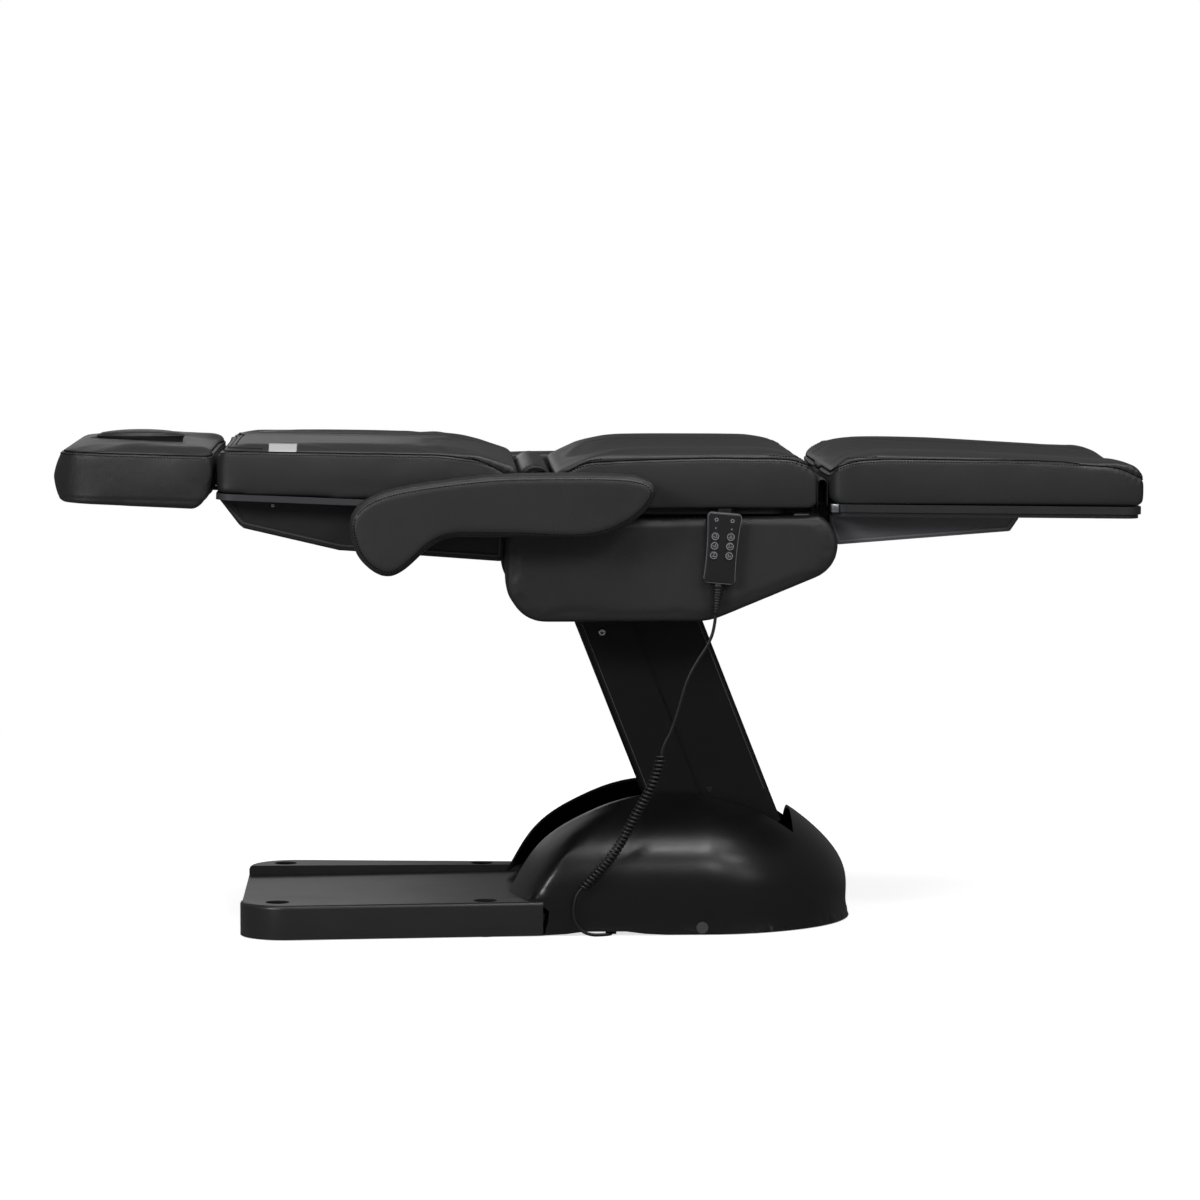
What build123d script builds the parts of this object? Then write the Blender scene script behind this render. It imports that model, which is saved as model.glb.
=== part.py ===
"""Electric treatment chair: padded headrest, backrest, seat and leg rest on a covered parallelogram lift."""

import os
from math import atan2, cos, hypot, pi, radians, sin, sqrt, tan

from build123d import *

os.makedirs("parts", exist_ok=True)

# Couch lengths along X, head end at minus X
headrest_length = 281
head_gap = 12
back_length = 503
back_gap = 60
seat_length = 444
leg_gap = 20
leg_length = 532
couch_width = 610
overall_length = headrest_length + head_gap + back_length + back_gap + seat_length + leg_gap + leg_length

# Heights of the cushion undersides and their thicknesses
seat_underside = 731
seat_thickness = 100
back_underside = 737
back_thickness = 100
leg_underside = 732
leg_thickness = 93
headrest_underside = 731
headrest_thickness = 109

# Lift linkage: equal arms between lower and upper pivots
arm_pitch = 110
arm_drop = 450
arm_lean = 177
lower_pivot_height = 150
lower_pivot_x = 173

# Base covers
plate_length = 508
plate_width = 600
plate_rear_width = 516
plate_height = 60
tray_height = 44
tray_width = 424
floor_gap = 8
cover_wall = 3.5
dome_height = 228
dome_rear_radius = 255
dome_centre_x = 193
slot_width = 250

# Fits and cutting overrun
play = 0.3
pin_play = 0.15
overrun = 20

# Places that follow from the lengths above
x_head = -overall_length / 2
x_head_in = x_head + headrest_length
x_back_out = x_head_in + head_gap
x_back_in = x_back_out + back_length
x_seat_out = x_back_in + back_gap
x_seat_in = x_seat_out + seat_length
x_leg_in = x_seat_in + leg_gap
x_leg_out = x_leg_in + leg_length
half_couch = couch_width / 2


def save(piece, name):
    """Label a finished piece and write it as its own STEP file."""
    piece.part.label = name
    export_step(piece.part, f"parts/{name}.step")


def spread(shares, x, z, length, height):
    """Turn shares of a length and a height into points from the corner x, z."""
    return [(x + u * length, z + w * height) for u, w in shares]


def upright(y, x=0, z=0):
    """Side plane facing the near side, at depth y, with its origin at x, z."""
    return Plane(origin=(x, y, z), x_dir=(1, 0, 0), z_dir=(0, -1, 0))


def outline(points):
    """Closed straight-sided face in the current sketch."""
    Polygon(*points, align=None)


def plan_outline(x_start, x_end, half_start, half_end, corner_start, corner_end, waist):
    """Plan of a cushion: rounded corners, with long sides that draw in by the waist."""
    middle = (x_start + x_end) / 2
    half_middle = (half_start + half_end) / 2 - waist
    with BuildLine() as edge:
        ThreePointArc((x_start, half_start), (middle, half_middle), (x_end, half_end))
        Line((x_end, half_end), (x_end, -half_end))
        ThreePointArc((x_end, -half_end), (middle, -half_middle), (x_start, -half_start))
        Line((x_start, -half_start), (x_start, half_start))
    make_face(edge.edges())
    ends = vertices().group_by(Axis.X)
    fillet(ends[0], corner_start)
    fillet(ends[-1], corner_end)


# Padded cushions, drawn once by their side, plan and cross sections
cushion_edge = 14
cushion_waist = 4
crown = 10
side_tuck = 6
bolster_shares = ((1.0, 0.0), (0.93, 0.75), (0.80, 1.0), (0.66, 0.72), (0.52, 0.22))


def crowned_top(half, seam, rise):
    """Top line of a plain cushion, from one side seam over the crown to the other."""
    ThreePointArc((half, seam), (0, seam + rise), (-half, seam))


def bolstered_top(half, seam, rise):
    """Top line with a raised bolster along each side and a lower middle."""
    right = [(u * half, seam + w * rise) for u, w in bolster_shares]
    left = [(-y, z) for y, z in reversed(right)]
    Spline(*right, *left)


def cushion(side, x_start, x_end, z_low, seam, slope, corners, rise, top_line):
    """A padded block: its side outline, cut to its cross section and then to its plan."""
    middle = (x_start + x_end) / 2
    along = Plane(origin=(middle, 0, seam), x_dir=(0, 1, 0), z_dir=(cos(slope), 0, -sin(slope)))
    depth = seam - z_low + overrun
    tuck = half_couch - side_tuck
    with BuildPart() as pad:
        with BuildSketch(Plane.XZ):
            outline(side)
            fillet(vertices(), cushion_edge)
        extrude(amount=half_couch, both=True)
        with BuildSketch(along):
            with BuildLine():
                top_line(half_couch, 0, rise)
                Polyline((-half_couch, 0), (-tuck, -depth), (tuck, -depth), (half_couch, 0))
            make_face()
        extrude(amount=x_end - x_start, both=True, mode=Mode.INTERSECT)
        with BuildSketch(Plane.XY):
            plan_outline(x_start, x_end, half_couch, half_couch, *corners, cushion_waist)
        extrude(amount=z_low + 2 * depth + overrun, mode=Mode.INTERSECT)
    return pad.part


# Headrest: cushion with an oval breathing hole, its plug, board and slide
headrest_corner = 92
headrest_inner_corner = 22
headrest_slope = radians(2.4)
headrest_seam = 826
headrest_shares = (
    (0.045, 0.11), (0.0, 0.50), (0.05, 0.90), (0.17, 1.0), (0.88, 0.94), (1.0, 0.80), (1.0, 0.24), (0.915, 0.0),
)
face_hole_length = 146
face_hole_width = 96
face_hole_x = x_head + headrest_length / 2 - 15
plug_length = 158
plug_width = 108
plug_rise = 17
plug_stem = 58
plug_seat = headrest_underside + headrest_thickness + 1
board_thickness = 12
board_half = 150
slide_bar_width = 30
slide_bar_thickness = 6
slide_bar_y = 80
slide_bar_inside = 210
tilt_x = x_head_in - 17
tilt_height = 752
tilt_tube_radius = 6
tilt_tube_half = 108
tilt_lug_radius = 10
tilt_lug_width = 12
tilt_lug_y = 50
notch_height = 13
notch_half = tilt_tube_half + 4
notch_length = 38

headrest_points = spread(headrest_shares, x_head, headrest_underside, headrest_length, headrest_thickness)
board_x_start = x_head + headrest_corner / 2
board_x_end = tilt_x - tilt_lug_radius - play
board_low = headrest_underside - play
board_top = headrest_underside + board_thickness + 6
with BuildPart() as headrest_cushion:
    add(cushion(
        headrest_points, x_head, x_head_in, headrest_underside, headrest_seam, headrest_slope,
        (headrest_corner, headrest_inner_corner), crown, crowned_top,
    ))
    with BuildSketch(Plane.XY.offset(headrest_underside - overrun)):
        with Locations((face_hole_x, 0)):
            Ellipse(face_hole_length / 2, face_hole_width / 2)
    extrude(amount=headrest_thickness + 2 * overrun, mode=Mode.SUBTRACT)
    with BuildSketch(Plane.XY.offset(headrest_underside - overrun)):
        with Locations(((board_x_start + board_x_end) / 2, 0)):
            Rectangle(board_x_end - board_x_start, 2 * board_half)
    extrude(amount=board_top - headrest_underside + overrun, mode=Mode.SUBTRACT)
    with BuildSketch(Plane.XY.offset(headrest_underside - overrun)):
        with Locations((x_head_in - notch_length / 2 + overrun / 2, 0)):
            Rectangle(notch_length + overrun, 2 * notch_half)
    extrude(amount=tilt_height + notch_height - headrest_underside + overrun, mode=Mode.SUBTRACT)
save(headrest_cushion, "headrest_cushion")

with BuildPart() as headrest_board:
    with BuildSketch(Plane.XY.offset(board_top - play)):
        with Locations(((board_x_start + board_x_end) / 2, 0)):
            Rectangle(board_x_end - board_x_start - 2 * play, 2 * (board_half - play))
        with Locations((face_hole_x, 0)):
            Ellipse(face_hole_length / 2, face_hole_width / 2, mode=Mode.SUBTRACT)
    extrude(amount=-board_thickness)
    for y in (-tilt_lug_y, tilt_lug_y):
        with BuildSketch(upright(y + tilt_lug_width / 2, tilt_x, tilt_height)):
            Circle(tilt_lug_radius)
            outline([
                (0, tilt_lug_radius), (0, -tilt_lug_radius),
                (-2 * tilt_lug_radius, board_top - play - board_thickness - tilt_height),
                (-2 * tilt_lug_radius, board_top - play - tilt_height),
            ])
            Circle(tilt_tube_radius + pin_play, mode=Mode.SUBTRACT)
        extrude(amount=tilt_lug_width)
save(headrest_board, "headrest_board")

with BuildPart() as face_plug:
    with BuildSketch(Plane.XY.offset(plug_seat)):
        with Locations((face_hole_x, 0)):
            Ellipse(plug_length / 2, plug_width / 2)
    extrude(amount=plug_rise)
    fillet(faces().sort_by(Axis.Z)[-1].edges(), plug_rise * 0.6)
    with BuildSketch(Plane.XY.offset(plug_seat)):
        with Locations((face_hole_x, 0)):
            Ellipse(face_hole_length / 2 - play, face_hole_width / 2 - play)
    extrude(amount=-plug_stem)
save(face_plug, "face_plug")

# Backrest: cushion, rim, moulded tub and welded frame
back_slope = atan2(back_thickness * 0.21, back_length)
back_seam = 826
back_corner = 30
back_shares = (
    (0.0, 0.21), (0.0, 0.84), (0.06, 1.0), (0.74, 0.97), (0.89, 0.84), (1.0, 0.66), (1.0, 0.0),
)
rim_thickness = 10.5
rim_inset = 5
back_rim_lead = 4
back_tub_half = 240
tub_wall = 4
back_tub_drop = 99
tub_edge = 10
back_tub_shares = (
    (0.0, 0.92), (0.093, 0.616), (0.426, 0.20), (0.697, 0.09), (1.0, 0.0), (1.0, 0.86),
)
panel_recess = 2
panel_border = 9

back_points = spread(back_shares, x_back_out, back_underside, back_length, back_thickness)
with BuildPart() as backrest_cushion:
    add(cushion(
        back_points, x_back_out, x_back_in, back_underside, back_seam, back_slope / 3,
        (back_corner, back_corner), crown, crowned_top,
    ))
save(backrest_cushion, "backrest_cushion")

back_rim_x = x_back_out - back_rim_lead
back_rim_end = x_back_in - rim_inset


def back_plane(depth):
    """Plane of the sloping backrest board, a depth below the cushion, X towards the seat."""
    z = back_underside + (x_back_in - back_rim_x) * tan(back_slope)
    return Plane(
        origin=(back_rim_x - depth * sin(back_slope), 0, z - depth * cos(back_slope)),
        x_dir=(cos(back_slope), 0, -sin(back_slope)), z_dir=(sin(back_slope), 0, cos(back_slope)),
    )


rim_run = back_rim_end - back_rim_x
rim_half = half_couch - rim_inset
bar_reach = slide_bar_inside + back_rim_lead
bar_depth = play + slide_bar_thickness
with BuildPart() as backrest_rim:
    with BuildSketch(back_plane(play)):
        with Locations((rim_run / 2, 0)):
            RectangleRounded(rim_run, 2 * rim_half, back_corner)
    extrude(amount=-rim_thickness)
    with BuildSketch(back_plane(0)):
        for y in (-slide_bar_y, slide_bar_y):
            with Locations(((bar_reach - overrun) / 2, y)):
                Rectangle(bar_reach + overrun, slide_bar_width + 2 * play)
    extrude(amount=-bar_depth - 2 * play, mode=Mode.SUBTRACT)
save(backrest_rim, "backrest_rim")

bar_plane = back_plane(2 * play)
bar_start = (tilt_x - back_rim_x) / cos(back_slope)
tilt_bar_drop = 7
with BuildPart() as headrest_slide:
    with BuildSketch(bar_plane):
        for y in (-slide_bar_y, slide_bar_y):
            with Locations(((bar_start + bar_reach - play) / 2, y)):
                Rectangle(bar_reach - play - bar_start, slide_bar_width)
    extrude(amount=-slide_bar_thickness)
    with BuildSketch(upright(tilt_tube_half, tilt_x, tilt_height)):
        Circle(tilt_tube_radius)
    extrude(amount=2 * tilt_tube_half)
    for y in (-slide_bar_y, slide_bar_y):
        with BuildSketch(upright(y + slide_bar_width / 2, tilt_x, tilt_height)):
            Circle(tilt_tube_radius + tilt_bar_drop / 2)
        extrude(amount=slide_bar_width)
save(headrest_slide, "headrest_slide")

# Backrest hinge between the cushions, and the armrest pivots further up the frame
back_hinge_x = x_back_in + back_gap * 2 / 3
back_hinge_height = 752
hinge_pin_radius = 8
hinge_boss_radius = 14
lug_thickness = 6
back_lug_y = 203
back_rail_y = 190
rail_width = 26
rail_height = 24
back_rail_gap = 1.5
arm_pivot_x = x_back_in - 192
arm_pivot_height = 715
arm_pivot_radius = 8
arm_pivot_tube = 12
armrest_inner = 315
armrest_outer = 400
core_thickness = 5
crank_radius = 60
crank_angle = radians(-80)
crank_eye = 14.5
crank_lug_radius = 20
crank_lug_gap = 22
crank_lug_thickness = 6
back_rail_depth = play + rim_thickness + back_rail_gap
tub_x = back_rim_x
tub_end = x_back_in - 22
tub_low = back_underside - back_tub_drop
tub_points = spread(back_tub_shares, tub_x, tub_low, tub_end - tub_x, back_tub_drop + 22)


def below_rim(depth, reach):
    """Half-space cutter outline that removes everything above a depth under the board."""
    plane = back_plane(depth)
    start = plane.origin
    run = reach + 2 * overrun
    return [
        (start.X - overrun, start.Z + overrun * tan(back_slope)),
        (start.X + run, start.Z - run * tan(back_slope)),
        (start.X + run, start.Z + 2 * back_thickness), (start.X - overrun, start.Z + 2 * back_thickness),
    ]


with BuildPart() as backrest_tub:
    with BuildSketch(Plane.XZ):
        outline(tub_points)
        fillet(vertices().group_by(Axis.Y)[:3], tub_edge)
    extrude(amount=back_tub_half, both=True)
    fillet(edges().filter_by(Axis.Y, reverse=True).group_by(Axis.Z)[0], tub_wall)
    with BuildSketch(Plane.XZ):
        outline(tub_points)
        offset(amount=-tub_wall)
    extrude(amount=back_tub_half - tub_wall, both=True, mode=Mode.SUBTRACT)
    with BuildSketch(Plane.XZ):
        outline(below_rim(play + rim_thickness, rim_run))
    extrude(amount=back_tub_half + overrun, both=True, mode=Mode.SUBTRACT)
    with BuildSketch(Plane.YZ.offset(tub_end - 2 * tub_wall)):
        with Locations((0, tub_low + tub_wall + back_tub_drop)):
            Rectangle(2 * (back_tub_half - tub_wall), 2 * back_tub_drop)
    extrude(amount=overrun, mode=Mode.SUBTRACT)
    with BuildSketch(upright(back_tub_half + overrun, arm_pivot_x, arm_pivot_height)):
        Circle(arm_pivot_tube + play)
    extrude(amount=2 * (back_tub_half + overrun), mode=Mode.SUBTRACT)
    for y, way in ((-back_tub_half, -1), (back_tub_half, 1)):
        with BuildSketch(upright(y)):
            outline(tub_points)
            offset(amount=-panel_border)
        extrude(amount=way * panel_recess, mode=Mode.SUBTRACT)
save(backrest_tub, "backrest_tub")

rail_start = 60
rail_end = x_back_in - 0.5 * hinge_boss_radius
back_rail_low = back_underside - back_rail_depth - rail_height
torsion_x = back_hinge_x - 2 * hinge_boss_radius
torsion_height = back_hinge_height - 40
torsion_radius = 13
crank_x = back_hinge_x + crank_radius * cos(crank_angle)
crank_height = back_hinge_height + crank_radius * sin(crank_angle)
link_drop = 28
link_pin_radius = 5
link_width = 5
link_half_depth = 8
link_inner = armrest_inner - link_width - 2 * play


def crank_plate(tube, eye, tube_radius, eye_radius, hole_radius):
    """Side shape of a crank: a hull from its tube to its eye, with the eye open."""
    with Locations(tube):
        Circle(tube_radius)
    with Locations(eye):
        Circle(eye_radius)
    make_hull()
    with Locations(eye):
        Circle(hole_radius, mode=Mode.SUBTRACT)


with BuildPart() as backrest_frame:
    with BuildSketch(back_plane(back_rail_depth)):
        for side in (-1, 1):
            with Locations(((rail_start + rail_end - back_rim_x) / 2, side * (back_rail_y + rail_width / 2))):
                Rectangle(rail_end - back_rim_x - rail_start, rail_width)
        for u in (rail_start, (rail_start + rail_end - back_rim_x) / 2):
            with Locations((u + rail_width / 2, 0)):
                Rectangle(rail_width, 2 * back_rail_y)
    extrude(amount=-rail_height)
    with BuildSketch(upright(back_lug_y + lug_thickness / 2, torsion_x, torsion_height)):
        Circle(torsion_radius)
    extrude(amount=2 * back_lug_y + lug_thickness)
    for side in (-1, 1):
        with BuildSketch(upright(side * back_lug_y + lug_thickness / 2)):
            outline([
                (back_hinge_x + hinge_boss_radius, back_hinge_height),
                (back_hinge_x - hinge_boss_radius, back_hinge_height),
                (x_back_in, back_underside - back_rail_depth), (x_back_in - 2 * hinge_boss_radius, back_rail_low + rail_height),
                (x_back_in - 2 * hinge_boss_radius, back_rail_low), (back_hinge_x - hinge_boss_radius, back_rail_low),
                (back_hinge_x + hinge_boss_radius, back_hinge_height - hinge_boss_radius),
            ])
            with Locations((back_hinge_x, back_hinge_height)):
                Circle(hinge_boss_radius)
                Circle(hinge_pin_radius + pin_play, mode=Mode.SUBTRACT)
        extrude(amount=lug_thickness)
        with BuildSketch(upright(side * (crank_lug_gap + crank_lug_thickness) / 2 + crank_lug_thickness / 2)):
            crank_plate(
                (torsion_x, torsion_height), (crank_x, crank_height),
                torsion_radius, crank_lug_radius, crank_eye,
            )
        extrude(amount=crank_lug_thickness)
        with BuildSketch(upright(side * (back_rail_y + rail_width / 2), arm_pivot_x, arm_pivot_height)):
            Circle(arm_pivot_tube)
        extrude(amount=-side * (armrest_inner - play - back_rail_y - rail_width / 2))
        with BuildSketch(upright(side * armrest_inner, arm_pivot_x, arm_pivot_height)):
            Circle(arm_pivot_radius)
        extrude(amount=-side * (core_thickness - play))
        with BuildSketch(upright(side * (armrest_inner - overrun), arm_pivot_x, arm_pivot_height)):
            Circle(arm_pivot_radius)
        extrude(amount=-side * overrun)
save(backrest_frame, "backrest_frame")

# Armrests stay level: each turns on the backrest and is steered by a flat link under the cushion
armrest_x = x_back_in - 281
armrest_low = 623
armrest_length = 510
armrest_height = 172
armrest_edge = 12
armrest_shares = (
    (0.0, 0.40), (0.015, 0.66), (0.060, 0.765), (0.147, 0.855), (0.296, 0.93), (0.447, 0.98), (0.70, 1.0),
    (0.90, 0.985), (0.965, 0.945), (1.0, 0.86), (0.982, 0.70), (0.939, 0.565), (0.87, 0.445), (0.788, 0.375),
    (0.60, 0.375), (0.40, 0.385), (0.31, 0.365), (0.25, 0.26), (0.186, 0.085), (0.125, 0.0), (0.06, 0.08),
    (0.018, 0.23),
)
core_hub_radius = 42
core_tip_radius = 24
core_reach = 330
core_rise = 28
armrest_points = spread(armrest_shares, armrest_x, armrest_low, armrest_length, armrest_height)
link_fixed = (back_hinge_x, back_hinge_height - link_drop)
link_free = (arm_pivot_x, arm_pivot_height - link_drop)


for side, name in ((-1, "right"), (1, "left")):
    with BuildPart() as armrest_pad:
        with BuildSketch(upright(side * (armrest_inner + core_thickness))):
            with BuildLine():
                Spline(*armrest_points, periodic=True)
            make_face()
        extrude(amount=-side * (armrest_outer - armrest_inner - core_thickness))
        outer_face = armrest_pad.faces().sort_by(Axis.Y)[0 if side < 0 else -1]
        fillet(outer_face.edges(), armrest_edge)
    save(armrest_pad, f"armrest_pad_{name}")
    with BuildPart() as armrest_core:
        with BuildSketch(upright(side * armrest_inner)):
            with Locations((arm_pivot_x, arm_pivot_height - link_drop / 2)):
                Circle(core_hub_radius)
            with Locations((arm_pivot_x + core_reach, arm_pivot_height + core_rise)):
                Circle(core_tip_radius)
            make_hull()
            with Locations((arm_pivot_x, arm_pivot_height)):
                Circle(arm_pivot_radius + pin_play, mode=Mode.SUBTRACT)
        extrude(amount=-side * core_thickness)
        with BuildSketch(upright(side * armrest_inner)):
            with Locations(link_free):
                Circle(link_pin_radius)
        extrude(amount=side * (link_width + 2 * play))
    save(armrest_core, f"armrest_core_{name}")
    with BuildPart() as armrest_link:
        with BuildSketch(upright(side * (armrest_inner - play))):
            with Locations(link_fixed, link_free):
                Circle(link_half_depth)
            make_hull()
            with Locations(link_fixed, link_free):
                Circle(link_pin_radius + pin_play, mode=Mode.SUBTRACT)
        extrude(amount=side * link_width)
    save(armrest_link, f"armrest_link_{name}")

# Seat: cushion, board, frame with the hinge lugs, and the carriage that hangs on the lift arms
seat_seam = 817
seat_rise = 14
seat_corner = 26
seat_shares = (
    (0.0, 0.0), (0.0, 0.60), (0.05, 0.72), (0.12, 0.87), (0.24, 1.0), (0.80, 1.0), (0.90, 0.92), (0.965, 0.76),
    (1.0, 0.54), (1.0, 0.0),
)
board_inset = 25
seat_board_thickness = 10
seat_board_lead = 8
seat_board_tail = 50
seat_rail_y = 197
seat_rail_width = 30
seat_rail_height = 30
seat_rail_lead = 4
bar_thickness = 10
bar_width = 50
seat_lug_y = back_lug_y + lug_thickness + play
leg_hinge_x = x_leg_in + 6
leg_hinge_height = 702
carriage_inner = 88
carriage_thickness = 8
carriage_boss = 20
lift_pin_radius = 8
motor_mount_height = 648
back_motor_x = 128
leg_motor_x = 164
motor_lug_y = 15
motor_lug_half = 13
motor_pin_radius = 6
upper_front = (lower_pivot_x - arm_lean, lower_pivot_height + arm_drop)
upper_rear = (upper_front[0] + arm_pitch, upper_front[1])
seat_board_low = seat_underside - seat_board_thickness
seat_rail_low = seat_board_low - seat_rail_height
seat_bar_low = seat_board_low - bar_thickness
seat_points = spread(seat_shares, x_seat_out, seat_underside, seat_length, seat_thickness)

with BuildPart() as seat_cushion:
    add(cushion(
        seat_points, x_seat_out, x_seat_in, seat_underside, seat_seam, 0,
        (seat_corner, seat_corner), seat_rise, bolstered_top,
    ))
save(seat_cushion, "seat_cushion")

seat_board_x = x_seat_out + seat_board_lead
seat_board_end = x_seat_in - seat_board_tail
with BuildPart() as seat_board:
    with BuildSketch(Plane.XY.offset(seat_underside)):
        with Locations(((seat_board_x + seat_board_end) / 2, 0)):
            RectangleRounded(seat_board_end - seat_board_x, couch_width - 2 * board_inset, seat_corner)
    extrude(amount=-seat_board_thickness)
save(seat_board, "seat_board")

rail_x = x_seat_out + seat_rail_lead
rail_tail = leg_hinge_x - 2 * hinge_boss_radius
bar_places = (
    (rail_x + bar_width, bar_width), (upper_rear[0] - bar_width / 2, bar_width),
    ((back_motor_x + leg_motor_x) / 2, leg_motor_x - back_motor_x + 2 * motor_lug_half),
    (seat_board_end - bar_width / 2, bar_width),
)
lug_reach = 24
with BuildPart() as seat_frame:
    with BuildSketch(Plane.XY.offset(seat_board_low)):
        for side in (-1, 1):
            with Locations(((rail_x + rail_tail) / 2, side * (seat_rail_y + seat_rail_width / 2))):
                Rectangle(rail_tail - rail_x, seat_rail_width)
    extrude(amount=-seat_rail_height)
    with BuildSketch(Plane.XY.offset(seat_board_low)):
        for x, width in bar_places:
            with Locations((x, 0)):
                Rectangle(width, 2 * (seat_rail_y + seat_rail_width))
    extrude(amount=-bar_thickness)
    for side in (-1, 1):
        with BuildSketch(upright(side * seat_lug_y + lug_thickness / 2)):
            outline([
                (back_hinge_x - hinge_boss_radius, back_hinge_height),
                (x_seat_out - play * 10, back_hinge_height), (x_seat_out - play * 10, seat_underside - play),
                (seat_board_x - 2 * play, seat_underside - play),
                (seat_board_x - 2 * play, seat_board_low), (rail_x + lug_reach, seat_board_low),
                (rail_x + lug_reach, seat_rail_low), (rail_x, seat_rail_low),
                (back_hinge_x - hinge_boss_radius / 2, seat_board_low),
            ])
            with Locations((back_hinge_x, back_hinge_height)):
                Circle(hinge_boss_radius)
                Circle(hinge_pin_radius + pin_play, mode=Mode.SUBTRACT)
        extrude(amount=lug_thickness)
        with BuildSketch(upright(side * seat_lug_y + lug_thickness / 2)):
            outline([
                (rail_tail - lug_reach, seat_board_low), (rail_tail - lug_reach, seat_rail_low),
                (leg_hinge_x, leg_hinge_height - hinge_boss_radius),
                (leg_hinge_x, leg_hinge_height + hinge_boss_radius),
            ])
            with Locations((leg_hinge_x, leg_hinge_height)):
                Circle(hinge_boss_radius)
                Circle(hinge_pin_radius + pin_play, mode=Mode.SUBTRACT)
        extrude(amount=lug_thickness)
        with BuildSketch(upright(side * (seat_rail_y + seat_rail_width / 2))):
            with Locations(link_fixed):
                Circle(link_pin_radius)
        extrude(amount=-side * (armrest_inner - play - seat_rail_y - seat_rail_width / 2))
        with BuildSketch(upright(side * (seat_rail_y + seat_rail_width) - side * lug_thickness)):
            outline([
                (link_fixed[0], link_fixed[1] + 2 * link_pin_radius),
                (link_fixed[0] - 2 * link_pin_radius, link_fixed[1]), (link_fixed[0], link_fixed[1] - 2 * link_pin_radius),
                (rail_x + lug_reach, seat_rail_low), (rail_x + lug_reach, seat_board_low),
                (seat_board_x - 2 * play, seat_board_low), (seat_board_x - 2 * play, link_fixed[1]),
            ])
        extrude(amount=-side * lug_thickness)
        with BuildSketch(upright(side * (carriage_inner + carriage_thickness / 2) + carriage_thickness / 2)):
            with Locations(upper_front, upper_rear):
                Circle(carriage_boss)
            outline([
                (upper_front[0] - carriage_boss, upper_front[1]), (bar_places[0][0] - bar_width / 2, seat_board_low - bar_thickness / 2),
                (bar_places[1][0] + bar_width / 2, seat_board_low - bar_thickness / 2), (upper_rear[0] + carriage_boss, upper_rear[1]),
                (upper_rear[0], upper_rear[1] - carriage_boss), (upper_front[0], upper_front[1] - carriage_boss),
            ])
            with Locations(upper_front, upper_rear):
                Circle(lift_pin_radius + pin_play, mode=Mode.SUBTRACT)
        extrude(amount=carriage_thickness)
        for x in (back_motor_x, leg_motor_x):
            with BuildSketch(upright(side * (motor_lug_y + lug_thickness / 2) + lug_thickness / 2)):
                with Locations((x, motor_mount_height)):
                    Circle(motor_lug_half)
                outline([
                    (x - motor_lug_half, motor_mount_height), (x + motor_lug_half, motor_mount_height),
                    (x + motor_lug_half, seat_board_low - bar_thickness / 2),
                    (x - motor_lug_half, seat_board_low - bar_thickness / 2),
                ])
                with Locations((x, motor_mount_height)):
                    Circle(motor_pin_radius + pin_play, mode=Mode.SUBTRACT)
            extrude(amount=lug_thickness)
save(seat_frame, "seat_frame")

hinge_pin_half = 9
with BuildPart() as hinge_pins:
    for x, z in ((back_hinge_x, back_hinge_height), (leg_hinge_x, leg_hinge_height)):
        for side in (-1, 1):
            with BuildSketch(upright(side * (back_lug_y + lug_thickness / 2) + hinge_pin_half, x, z)):
                Circle(hinge_pin_radius)
            extrude(amount=2 * hinge_pin_half)
save(hinge_pins, "hinge_pins")

# Padded side panels that hide the motors under the seat, and the clips that hold them
skirt_x = x_seat_out - 100
skirt_low = 537
skirt_length = 557
skirt_height = 181
skirt_inner = 245
skirt_outer = 290
skirt_edge = 10
skirt_shares = ((0.0, 0.28), (0.0, 0.965), (0.945, 1.0), (1.02, 0.55), (0.60, 0.0), (0.06, 0.0))
skirt_rounds = (50, 34, 36, 60, 120, 60)
skirt_points = spread(skirt_shares, skirt_x, skirt_low, skirt_length, skirt_height)
clip_width = 25
clip_thickness = 2
clip_x = x_seat_in - 26
for side, name in ((-1, "right"), (1, "left")):
    with BuildPart() as skirt:
        with BuildSketch(upright(side * skirt_inner)):
            with BuildLine():
                FilletPolyline(*skirt_points, radius=skirt_rounds, close=True)
            make_face()
        extrude(amount=-side * (skirt_outer - skirt_inner))
        skirt_face = skirt.faces().sort_by(Axis.Y)[0 if side < 0 else -1]
        fillet(skirt_face.edges(), skirt_edge)
    save(skirt, f"skirt_{name}")

clip_low = skirt_low + skirt_height + play
clip_start = seat_rail_y + seat_rail_width + play
with BuildPart() as skirt_clips:
    with BuildSketch(Plane.XY.offset(clip_low)):
        for side in (-1, 1):
            for x in (clip_x, (bar_places[0][0] + bar_places[1][0]) / 2):
                with Locations((x, side * (clip_start + skirt_outer - skirt_edge) / 2)):
                    Rectangle(clip_width, skirt_outer - skirt_edge - clip_start)
    extrude(amount=clip_thickness)
save(skirt_clips, "skirt_clips")

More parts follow.
